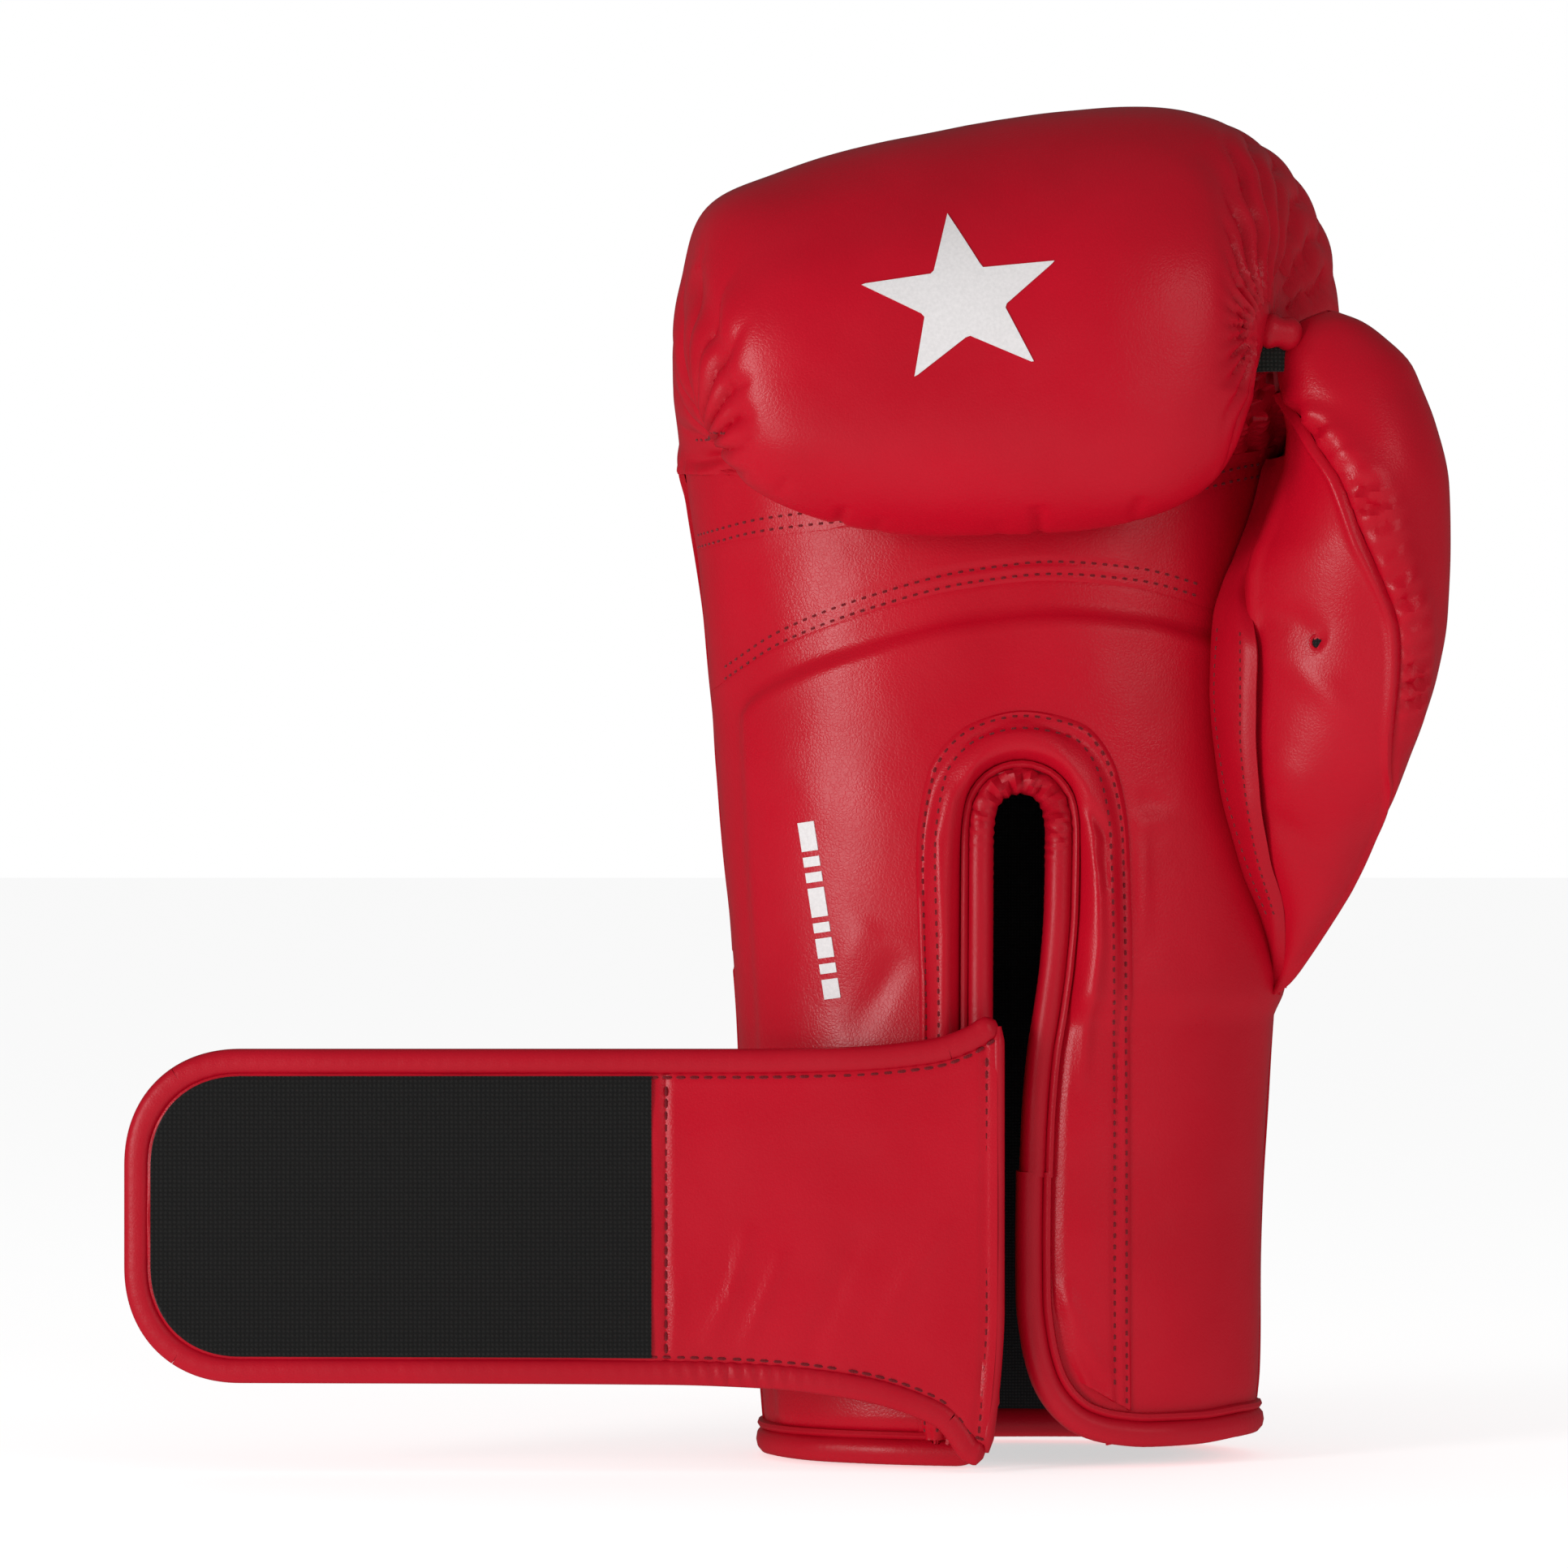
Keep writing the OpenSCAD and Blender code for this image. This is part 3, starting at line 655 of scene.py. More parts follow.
def build_facing():
    """Arch of leather round the slit, padded under its inner edge."""
    flap = [(1.6, 50), (2.4, 36), (5.2, 24), (9, 16)]
    inner = resample(SLIT_LEFT + SLIT_ARCH[1:-1] + SLIT_RIGHT + flap, 1.3)
    way = unit(np.gradient(inner, axis=0))
    inner = inner + np.stack([-way[:, 1], way[:, 0]], 1) * (BAND + 0.2)
    outer = resample(FACING_OUT, 1.3)
    count = 270
    u = np.linspace(0, 1, count)
    pick = lambda line: np.stack([np.interp(u, np.linspace(0, 1, len(line)), line[:, k]) for k in (0, 1)], 1)
    inner, outer = pick(inner), pick(outer)
    # both lines reach the top of the arch together
    tops = [np.argmax(line[:, 1]) for line in (inner, outer)]
    remap = np.interp(np.arange(count), [0, tops[0], count - 1], [0, tops[1], count - 1])
    outer = np.stack([np.interp(remap, np.arange(count), outer[:, k]) for k in (0, 1)], 1)
    v = np.linspace(0, 1, 22)
    xz = inner[:, None] * (1 - v[None, :, None]) + outer[:, None] * v[None, :, None]
    points = palm(xz[..., 0], np.maximum(xz[..., 1], 6.5))
    width = np.linalg.norm(outer - inner, axis=1)[:, None]
    to_edge = (1 - v)[None] * width
    lift = palm_relief(points) + 0.9 * smooth(v * 5)[None]
    lift += 2.1 * np.sin(np.pi * np.clip(v * 1.3, 0, 1))[None] ** 0.7 * (1 - 0.75 * under_strap(points))
    lift += edge_round(to_edge, 1.1, 1.2) - 0.45 * np.exp(-(((to_edge - 1.3) / 0.7) ** 2))
    lift -= 0.45 * np.exp(-(((to_edge - 4.0) / 0.7) ** 2))
    for line, depth, width_of in (
            ([(15, 143), (18.3, 132), (18.6, 116), (16.6, 100), (15.5, 84)], -1.5, 1.6),
            ([(19, 141), (21.6, 130), (22.4, 112), (22.8, 96)], -1.1, 1.3),
            ([(16, 148), (19.8, 141), (20.2, 128)], 1.7, 1.3),
            ([(-15, 96), (-14.5, 118), (-16, 140), (-13, 152)], -0.8, 1.6),
            ([(11, 42), (15, 30), (20, 20)], -0.9, 2.0),
            ([(12, 36), (17, 24), (21, 16)], 0.7, 2.2)):
        lift += flat_crease(points, line, depth, width_of)
    return shell("slit_facing_leather", points, lift, 1.1, RED, None, np.array([0, -1.0, 0]))


EDGE_PROFILE = [(0.0, -4.0), (-0.15, -0.8), (-0.7, 0.9), (-1.9, 1.75), (-3.4, 1.95), (-4.8, 1.6),
                (-5.6, 0.8), (-5.9, 0.25), (-6.2, 0.95), (-6.9, 1.3), (-7.6, 0.95), (-7.9, -0.6),
                (-7.2, -6.6), (-6.2, -8.4), (-3.4, -9.1), (-1.4, -8.8), (-0.3, -7.2)]


def edge_path(xz, rim=()):
    """Stations and angles of a line on the palm side, then of more places round the rim."""
    xz = resample(xz, 0.9)
    s, a = xz[:, 1], front_angle(xz[:, 0], xz[:, 1])
    if len(rim):
        extra = np.array(rim, float)
        s, a = np.concatenate([s, extra[:, 0]]), np.concatenate([a, extra[:, 1]])
    points = hand(s, a)
    far = distances(points)
    at = np.linspace(0, far[-1], int(far[-1] / 1.0) + 1)
    return np.interp(at, far, s), np.interp(at, far, a), at


def bound_edge(name, s, a, at, gather, wide=1.0):
    """Rolled binding along an edge. gather(distance) says how much it puckers."""
    points, normal = hand(s, a), hand_normal(s, a)
    profile = np.repeat(np.array(EDGE_PROFILE)[None], len(at), 0)
    profile[..., 0] *= wide
    amount = gather(at)[:, None]
    k = np.arange(profile.shape[1])[None]
    folds = np.sin(at[:, None] * 2.5 + k * 0.9) * 0.5 + np.sin(at[:, None] * 3.9 - k * 0.6 + 1.3) * 0.45
    face = ((k > 0) & (k < 7))
    profile[..., 1] += amount * folds * face
    profile[..., 0] += amount * 0.25 * np.sin(at[:, None] * 2.8) * (k < 3)
    profile[..., 1] += 0.12 * np.sin(at[:, None] * 0.31 + 0.5) * face
    return sweep(name, points, normal, profile, BOUND)


def build_edges():
    s, a, at = edge_path(SLIT_LEFT[3:-1] + SLIT_ARCH + SLIT_RIGHT[1:])
    top = at[np.argmax(s)]
    piping = bound_edge("slit_piping_roll", s, a, at,
                        lambda d: 0.12 + 1.25 * np.exp(-(((d - top - 2) / 17) ** 2)), 0.95)
    rim = [(z, 360 + b) for z, b in zip(np.interp(along(0, 180, 4), [0, 40, 180], [5.2, 1.2, 0.6]),
                                        along(0, 180, 4))]
    left = resample(LEFT_RIM + [(-6.6, 8), (-5.2, 20), (-4.4, 34), (-4.0, 60)], 0.9)
    rim += [(z, 360 + b) for z, b in zip(left[:, 1], front_angle(left[:, 0], np.maximum(left[:, 1], 0.3)))]
    s, a, at = edge_path(FLAP_EDGE, rim)
    binding = bound_edge("cuff_binding_roll", s, a, at,
                         lambda d: 0.05 + 0.25 * np.exp(-(((d - 395) / 12) ** 2)))
    return piping, binding


def ring_panel(name, s_range, a_range, lift_of, material, thickness=1.2):
    """Panel of the hand's surface between two stations and two ring angles."""
    step = 2.4
    s, a = along(*s_range, step), arc_columns(*a_range, step)
    ss, aa = np.meshgrid(s, a, indexing="ij")
    points = hand(ss, aa)
    return shell(name, points, lift_of(ss, aa, points), thickness, material, None, outward_of(ss, aa))


def build_back():
    edges = lambda ss, lo, hi: edge_round(np.minimum(ss - lo, hi - ss), 0.9, 2.0)
    cuff = ring_panel("cuff_back_leather", (6.6, CUFF_SEAM), (-1, 181),
                      lambda ss, aa, p: 0.4 * ripple(p, 30) + edges(ss, 2, CUFF_SEAM), RED)
    pile = ring_panel("loop_patch_pile", (27, 97), (14, 148),
                      lambda ss, aa, p: 1.3 + 0.12 * ripple(p, 3) + edges(ss, 27, 97), PILE, 1.1)
    return cuff, pile


def build_lining():
    depth = lambda s: np.interp(s, [0, 112, 170, 222, 302, 342, 402, 458], [7.6, 11, 22, 27, 27, 22, 11, 5])
    s = np.concatenate([along(8, 222, 3), along(226, 440, 4)])
    a = np.concatenate([np.linspace(-80, 180, 90), np.linspace(184, 264, 30)])
    ss, aa = np.meshgrid(s, a, indexing="ij")
    points = hand(ss, aa, depth(ss))
    low_front = (points[..., 2] < 19) & (points[..., 1] < -15)
    keep = ~low_front[:-1, :-1]
    return shell("hand_lining_cloth", points, 0.3 * ripple(points, 12), 0.9, LINING, keep, outward_of(ss, aa))


# --------------------------------------------------------------------------- the thumb
# height, then the thumb's left and right sides, its middle and half its depth
THUMB_L = [(105, 59.5), (108, 60), (113, 60.5), (122, 60), (135, 56), (150, 53), (165, 51.8), (187, 52),
           (197, 52.2), (203, 53.4), (208, 55.6), (215.5, 58.3), (224, 61), (230, 61.4), (235, 60.3),
           (239, 58.6), (246, 58), (251, 60), (254.5, 64), (257, 70)]
THUMB_R = [(105, 61), (108, 64), (113, 67.5), (122, 73), (131, 78), (149, 85.5), (163, 90.5), (176, 94.5),
           (190, 97), (203, 97.7), (218, 97), (232, 94), (240, 91), (245, 88.7), (251, 82.5),
           (254.5, 77.5), (257, 71)]
THUMB_Y = [(105, -13), (115, -18), (130, -26), (150, -33), (190, -36), (230, -39), (257, -41)]
THUMB_D = [(105, 2), (113, 8), (130, 15), (150, 20), (190, 23), (220, 21.5), (238, 17), (248, 12),
           (254, 7), (257, 1)]
# ring angle of the seam between the thumb's pad and its inner panel
THUMB_SEAM = [(105, 372), (138, 368), (148, 345), (156, 320), (166, 308), (186, 296), (196, 284),
              (203.4, 274), (217.8, 252), (225, 231), (232, 211), (236, 197), (239, 188)]
THUMB_BACK = 172
THUMB_POWER = 2.2
FLATTEN = 0.45


def thumb(z, a):
    angle = np.radians(a)
    x0, x1 = curve(THUMB_L, z), curve(THUMB_R, z)
    x = (x0 + x1) / 2 + (x1 - x0) / 2 * signed_power(np.cos(angle), 2 / THUMB_POWER)
    y = curve(THUMB_Y, z) + curve(THUMB_D, z) * signed_power(np.sin(angle), 2 / THUMB_POWER)
    return np.stack([x, y, z + 0 * x], -1)


def thumb_arc(turn, z):
    """Length round the thumb of a turn in degrees."""
    return turn * np.pi / 180 * (curve(THUMB_R, z) - curve(THUMB_L, z)) / 2


def build_thumb():
    centre = lambda zz: np.stack([(curve(THUMB_L, zz) + curve(THUMB_R, zz)) / 2, curve(THUMB_Y, zz), zz], -1)
    # outer pad, from the seam round the back
    z = np.concatenate([along(105, 250, 1.3), 250 + 7 * np.sin(np.linspace(0.05, 1, 16) * np.pi / 2)])
    v = np.linspace(0, 1, 120)[None]
    zz = np.repeat(z[:, None], v.shape[1], 1)
    seam = np.where(z < 239, curve(THUMB_SEAM, z), 188)[:, None]
    aa = seam * (1 - v) + (360 + THUMB_BACK) * v
    points = thumb(zz, aa)
    from_seam = thumb_arc(aa - seam, zz)
    on = smooth((zz - 158) / 10) * smooth((242 - zz) / 8)
    wave = np.sin((zz - 0.45 * from_seam) * 2 * np.pi / 4.7 + 1.5 * np.sin(zz / 7.0))
    fade = 0.65 + 0.35 * np.sin(zz / 3.1 + 2)
    lift = on * 1.15 * fade * wave * smooth((12 - from_seam) / 9) * smooth(from_seam / 2)
    lift += on * 1.5 * np.exp(-(((from_seam - 7) / 5) ** 2))
    lift += edge_round(from_seam, 2.2, 3.0) + 0.4 * ripple(points, 26, 8.0)
    pad = shell("thumb_pad_leather", points, lift, 1.3, RED, None, points - centre(zz))
    # inner panel, flatter, from the palm's side to the seam
    z = along(105, 238.5, 1.3)
    v = np.linspace(0, 1, 60)[None]
    zz = np.repeat(z[:, None], v.shape[1], 1)
    seam = curve(THUMB_SEAM, z)[:, None]
    aa = THUMB_BACK * (1 - v) + seam * v
    points = thumb(zz, aa)
    share = np.clip((aa - 180) / (seam - 180), 0, 1)[..., None]
    chord = thumb(zz, 180) * (1 - share) + thumb(zz, seam) * share
    flat = FLATTEN * smooth((aa - 180) / 20)[..., None]
    points = points * (1 - flat) + chord * flat
    to_seam = thumb_arc(seam - aa, zz)
    lift = -0.8 * np.sin(np.pi * v) * smooth((zz - 125) / 25) * smooth((236 - zz) / 20)
    lift += edge_round(to_seam, 1.0, 1.6) + 0.9 * np.exp(-(((to_seam - 2.2) / 1.2) ** 2))
    lift += 0.5 * ripple(points, 24, 3.0)
    for line, depth, width in (([(53, 183), (60, 179), (68, 173), (76, 165)], -0.7, 3.4),
                               ([(55, 190), (62, 188), (68, 183.2)], 0.9, 3.0),
                               ([(66.6, 184), (67.3, 183.2), (68, 182.4)], 1.0, 1.6),
                               ([(56, 146), (64, 139), (74, 133)], 0.8, 3.0),
                               ([(56, 158), (66, 150), (78, 145)], -0.6, 4.0)):
        lift += flat_crease(points, line, depth, width)
    panel = shell("thumb_inner_leather", points, lift, 1.2, RED, None, points - centre(zz))
    return pad, panel


# height, then where the gusset's edge on the palm and its seam on the thumb are
STRIP_L = [(107, 61.5), (110, 61), (122.4, 56.2), (135, 51), (154.8, 45.7), (172.8, 43.9), (189, 44.8),
           (197, 47.2), (205, 51), (215, 55), (226, 58)]
STRIP_R = [(122.4, 60.5), (138, 55.5), (152, 53), (164, 52), (187, 52)]


def build_strip():
    """Gusset of leather that joins the palm to the thumb."""
    z = along(107, 226, 1.2)
    left = palm(curve(STRIP_L, z), z)
    left = left + hand_normal(z, front_angle(left[:, 0], z)) * 0.4
    right = thumb(z, 200 - 35 * smooth((z - 180) / 25))
    v = np.linspace(0, 1, 26)[None, :, None]
    points = left[:, None] * (1 - v) + right[:, None] * v
    v = v[0, :, 0]
    plump = 1.6 * smooth((214 - z) / 32) - 1.2 * smooth((z - 200) / 20)
    sunk = np.exp(-((v / 0.09) ** 2)) + np.exp(-(((1 - v) / 0.09) ** 2))
    lift = np.sin(np.pi * v)[None] ** 0.5 * plump[:, None]
    lift = lift - 1.3 * sunk[None] * smooth((205 - z) / 10)[:, None]
    lift = lift + 0.2 * ripple(points, 9, 5.0)
    return shell("thumb_gusset_leather", points, lift, 1.2, BOUND, None, np.array([0.3, -1.0, 0]))


def build_web():
    """Leather between the back of the thumb and the side of the hand."""
    z = along(116, 242, 2)
    left, right = hand(z, np.full_like(z, 352.0)), thumb(z, np.full_like(z, 120.0))
    v = np.linspace(0, 1, 12)[None, :, None]
    points = left[:, None] * (1 - v) + right[:, None] * v
    return shell("thumb_web_leather", points, -1.5 * np.sin(np.pi * v[0, :, 0])[None] + 0 * z[:, None], 1.2,
                 RED, None, np.array([0.3, 1.0, 0]))


def build_vent(tree):
    """Small round vent in the thumb's inner panel."""
    middle, up = on_front(tree, 67.3, 183.2)
    side = unit(np.cross(up, [0, 0, 1.0]))
    top = np.cross(side, up)
    sides = 24
    t = np.arange(sides) * 2 * np.pi / sides
    ring = side[None] * np.cos(t)[:, None] + top[None] * np.sin(t)[:, None]
    vertices, faces = [], []
    for r, h in ((1.35, -0.6), (1.35, 0.1), (0.9, 0.16), (0.05, 0.16)):
        vertices += list(middle + ring * r + up * h)
    for k in range(3):
        for j in range(sides):
            a, b = k * sides + j, k * sides + (j + 1) % sides
            faces.append((a, b, b + sides, a + sides))
    faces += [tuple(range(sides))[::-1], tuple(range(3 * sides, 4 * sides))]
    hole = make_object("thumb_vent_hole", vertices, faces, LINING)
    path = middle + np.concatenate([ring, ring[:1]]) * 1.65 + up * 0.1
    rim = sweep("thumb_vent_rim", path, np.tile(up, (sides + 1, 1)), ring_profile(0.4, 0.3, 10, 2), RED)
    return hole, rim


def ring_profile(rx, ry, count=18, power=2.4):
    t = np.arange(count) * 2 * np.pi / count
    return np.stack([rx * signed_power(np.cos(t), 2 / power), ry * signed_power(np.sin(t), 2 / power)], 1)


def build_lock():
    line = resample([(46, -44, 245.2), (51, -49, 245.6), (57, -48.5, 245.9), (64, -44, 246)], 0.8)
    webbing = sweep("thumb_lock_webbing", line, np.tile([0, -1.0, 0.05], (len(line), 1)),
                    ring_profile(2.9, 0.7, 16, 4), WEBBING)
    line = resample([(47, -45, 253.5), (53, -49, 252.6), (58, -49, 251.8), (64, -44, 251)], 0.7)
    t = np.linspace(-1, 1, len(line))
    sizes = 3.6 * np.sqrt(np.clip(1 - t**4, 0.02, 1)) + 0.35 * np.sin(t * 14)
    profile = ring_profile(1, 1, 20)[None] * sizes[:, None, None]
    nub = sweep("thumb_lock_tab", line, palmward(line), profile, RED)
    return webbing, nub


# --------------------------------------------------------------------------- the strap
FOLD_X, FACE_Y, STRAP_T = -2.0, -51.0, 3.6
STRAP_LEN, LINKS = 194.0, 8
LINK = STRAP_LEN / LINKS
STRAP_TOP = [(0, 102), (1.5, 101.4), (6, 98.8), (17, 95.6), (35, 94.0), (60, 93.6), (168, 93.6)]
STRAP_LOW = [(0, 1.0), (5, 2.2), (9, 6.0), (15, 10.6), (33, 16.2), (53, 18.6), (75, 19.4), (168, 19.8)]
TIP_R = 26.0
TIP_POWER = 2.2
TIP_END = STRAP_LEN - 0.5
EDGE_W = 5.8
HOOK_FROM = 77.6
ROOT_X = -3.4
ROOT_SEAM = 2.6
JOIN_SEAM = 74.4


def strap_edges(d, inset):
    """Heights of the strap's top and bottom edges at distance d from its fold."""
    radius = TIP_R - inset
    over = np.clip((d - (STRAP_LEN - TIP_R)) / radius, 0, 1)
    cut = radius * (1 - np.clip(1 - over**TIP_POWER, 0, 1) ** (1 / TIP_POWER))
    return curve(STRAP_LOW, d) + inset + cut, curve(STRAP_TOP, d) - inset - cut


def strap_slices():
    """(first distance, last distance, body, next body or None) of each slice of the strap."""
    mids = [LINK * (k + 0.5) for k in range(LINKS)]
    out = [(0.0, mids[0], 1, None)]
    out += [(mids[k], mids[k + 1], k + 1, k + 2) for k in range(LINKS - 1)]
    return out + [(mids[-1], STRAP_LEN, LINKS, None)]


def slice_rows(d0, d1, step=1.2):
    """Distances of a slice's rows, closer together round the tip."""
    if d1 < STRAP_LEN - EDGE_W - 2:
        return np.linspace(d0, d1, int((d1 - d0) / step) + 2)
    t = np.linspace(0, 1, 40)
    return d0 + (d1 - d0) * np.sin(t * np.pi / 2)


def root_curve(x, z):
    """Draws the strap's first few millimetres in to the curved line of its fold."""
    first = FOLD_X - LINK / 2
    edge = ROOT_X - 3.4 * np.clip((36 - z) / 36, 0, 1) ** 1.6
    return np.where(x > first, first + (x - first) * (edge - first) / (FOLD_X - first), x)


def strap_slab(name, d0, d1, inset, y0, y1, material, relief):
    """Flat padded slab of the strap between two distances; y0 faces the palm side."""
    d = slice_rows(d0, d1)
    low, top = strap_edges(d, inset)
    v = np.linspace(0, 1, 48)
    z = low[:, None] * (1 - v) + top[:, None] * v
    x = root_curve(FOLD_X - d[:, None], z)
    edge = np.minimum(z - low[:, None], top[:, None] - z)
    front = y0 - relief(x, z, edge)
    back = y1 + 0 * z
    n, m = z.shape
    face = np.stack([x, front, z], -1).reshape(-1, 3)
    rear = np.stack([x, back, z], -1).reshape(-1, 3)
    faces = []
    for i in range(n - 1):
        for j in range(m - 1):
            a, b, c, e = i * m + j, i * m + j + 1, (i + 1) * m + j + 1, (i + 1) * m + j
            faces.append((a, b, c, e))
            faces.append((n * m + a, n * m + e, n * m + c, n * m + b))
    ends = [(i * m + j, i * m + j + 1) for i in (0, n - 1) for j in range(m - 1)]
    ends += [(i * m + j, (i + 1) * m + j) for j in (0, m - 1) for i in range(n - 1)]
    faces += [(a, b, n * m + b, n * m + a) for a, b in ends]
    return make_object(name, np.concatenate([face, rear]), faces, material)


def leather_relief(x, z, edge):
    points = np.stack([x, 0 * x, z], -1)
    swell = 0.55 * smooth(edge / 14) + edge_round(edge, 0.5, 1.2)
    swell += 0.35 * ripple(points, 22, 7.0)
    for line, depth, width in (([(-68, 28), (-62, 40), (-58, 55)], -0.6, 1.6),
                               ([(-60, 26), (-55, 38), (-50, 50)], -0.6, 1.4),
                               ([(-46, 24), (-40, 38), (-33, 55)], 0.5, 2.6),
                               ([(-30, 30), (-22, 45), (-14, 56)], -0.5, 2.4),
                               ([(-76, 24), (-74, 34), (-73, 44)], -0.3, 1.4)):
        swell += crease(points[..., [0, 2]], np.array(line, float), depth, width)
    swell -= 0.6 * np.exp(-(((x + 76.4) / 0.55) ** 2))
    swell -= 0.5 * np.exp(-(((x + 2.7 - root_curve(FOLD_X + 0 * z, z)) / 0.6) ** 2))
    return swell


def hook_relief(x, z, edge):
    return 0.12 * ripple(np.stack([x, 0 * x, z], -1), 4) + edge_round(edge, 0.5, 0.8)


def strap_binding(name, d0, d1):
    """Rolled edge of the strap: one roll along each side, or one round the tip."""
    half = EDGE_W / 2
    t = np.arange(22) * 2 * np.pi / 22
    flat = np.stack([half * signed_power(np.cos(t), 0.8), 2.55 * signed_power(np.sin(t), 0.8)], 1)

    def roll(part, line, at):
        x = root_curve(FOLD_X - line[:, 0], line[:, 1])
        path = np.stack([x, np.full(len(line), FACE_Y + STRAP_T / 2), line[:, 1]], 1)
        profile = np.repeat(flat[None], len(line), 0) * smooth(0.35 + line[:, 0] / 3.5)[:, None, None]
        ticks = np.exp(-(((line[:, 0] - 58) / 14) ** 2)) * (line[:, 1] < 50)
        ticks = 0.05 + 0.5 * ticks[:, None]
        folds = np.sin(at[:, None] * 1.9 + t[None] * 1.5)
        profile[..., 1] += ticks * folds * (np.sin(t)[None] > 0.2) * 0.6
        return sweep(part, path, palmward(line), profile, BOUND)

    d = slice_rows(d0, d1, 0.9)
    if d1 > TIP_END:
        d = d0 + (d1 - half - d0) * np.sin(np.linspace(0, 1, 60) * np.pi / 2)
    low, top = strap_edges(d, half)
    bottom, upper = np.stack([d, low], 1), np.stack([d, top], 1)
    if d1 > TIP_END:
        line = np.concatenate([bottom, upper[::-1][1:]])
        line = straight(line, 0.9)
        return roll(name, line, np.arange(len(line)) * 0.9 + d0)
    parts = [roll(name, bottom, d), roll(name + "_top", upper[::-1], d[::-1])]
    return joined(name, parts)


def strap_seam(name, line, pitch=3.0):
    """Thread just inside the binding."""
    line = straight(line, 0.8)
    x = root_curve(FOLD_X - line[:, 0], line[:, 1])
    points = np.stack([x, np.full(len(line), FACE_Y - 0.1), line[:, 1]], 1)
    return stitches(name, points, palmward(points), THREAD, pitch, 2.1, 0.35)


def cross_seam(name, d):
    """Thread across the strap at distance d from its fold."""
    low, top = strap_edges(np.array([d]), EDGE_W)
    return strap_seam(name, [(d, low[0] + 1), (d, top[0] - 1)], 2.7)


def build_strap():
    """Slices of the strap, each with the body it starts on and the next body, or None."""
    made = []
    for number, (d0, d1, body, after) in enumerate(strap_slices()):
        stop = min(d1, STRAP_LEN - EDGE_W + 0.6)
        parts = [strap_slab(f"strap_leather_slice_{number}", d0, stop, EDGE_W - 0.6, FACE_Y,
                            FACE_Y + STRAP_T, RED, leather_relief),
                 strap_binding(f"strap_binding_slice_{number}", d0, d1)]
        if d1 > HOOK_FROM:
            end = stop - 0.8 if d1 > TIP_END else d1
            parts.append(strap_slab(f"hook_patch_slice_{number}", max(d0, HOOK_FROM), end, EDGE_W + 0.2,
                                    FACE_Y - 1.0, FACE_Y + 0.6, HOOKS, hook_relief))
        tip = d1 > TIP_END
        d = slice_rows(d0, STRAP_LEN - EDGE_W - 0.8 if tip else d1, 1.5)
        low, top = (np.stack([d, z], 1) for z in strap_edges(d, EDGE_W + 0.5))
        threads = [np.concatenate([low, top[::-1]])] if tip else [low, top]
        threads = [strap_seam("edge", line) for line in threads]
        if number == 0:
            threads.append(cross_seam("root", ROOT_SEAM))
        if d0 < JOIN_SEAM <= d1:
            threads.append(cross_seam("join", JOIN_SEAM))
        parts.append(joined(f"strap_stitching_{number}", threads))
        made.append((parts, body, after, d0, d1))
    return made


def build_root():
    """Folded edge at the strap's root, and the tab behind it that holds it to the cuff."""
    z = along(4.5, 98.5, 1.0)
    x = root_curve(np.full_like(z, FOLD_X), z) + 0.2
    fold = np.stack([x, np.full_like(z, -48.8), z], 1)
    sizes = 1.5 * np.clip(np.sin(np.linspace(0.1, np.pi - 0.1, len(z))) * 5, 0.3, 1)
    profile = ring_profile(1, 1, 20)[None] * sizes[:, None, None] * np.array([1.0, 1.7])
    roll = sweep("strap_fold_roll", fold, palmward(z), profile, BOUND)
    z = along(12, 95, 1.5)
    tab = np.stack([np.full_like(z, -5.4), np.full_like(z, -44.0), z], 1)
    sizes = np.clip(np.sin(np.linspace(0.1, np.pi - 0.1, len(z))) * 5, 0.4, 1)
    profile = ring_profile(2.7, 2.2, 20, 3)[None] * sizes[:, None, None]
    anchor = sweep("strap_anchor_tab", tab, palmward(z), profile, BOUND)
    return roll, anchor


# --------------------------------------------------------------------------- prints
def star(tree, name, centre, radius, inner, turn, squeeze):
    """Plain five-pointed star printed on the fist."""
    corners = []
    for k in range(10):
        r = radius if k % 2 == 0 else inner
        t = math.radians(90 + 36 * k + turn)
        corners.append((r * math.cos(t), r * math.sin(t) * squeeze))
    outline = straight(corners + corners[:1], 1.2)[:-1]
    rings = 14
    vertices = []
    for i in range(rings + 1):
        for x, z in outline * i / rings:
            hit, normal = on_front(tree, centre[0] + x, centre[1] + z)
            vertices.append((hit + normal * 0.28, hit - normal * 0.3))
    m = len(outline)
    face = [v[0] for v in vertices]
    rear = [v[1] for v in vertices]
    faces = []
    for i in range(rings):
        for j in range(m):
            a, b, c, e = i * m + j, i * m + (j + 1) % m, (i + 1) * m + (j + 1) % m, (i + 1) * m + j
            faces.append((a, b, c, e))
            faces.append(tuple(len(face) + k for k in (a, e, c, b)))
    last = rings * m
    faces += [(last + j, last + (j + 1) % m, len(face) + last + (j + 1) % m, len(face) + last + j)
              for j in range(m)]
    return make_object(name, face + rear, faces, WHITE)


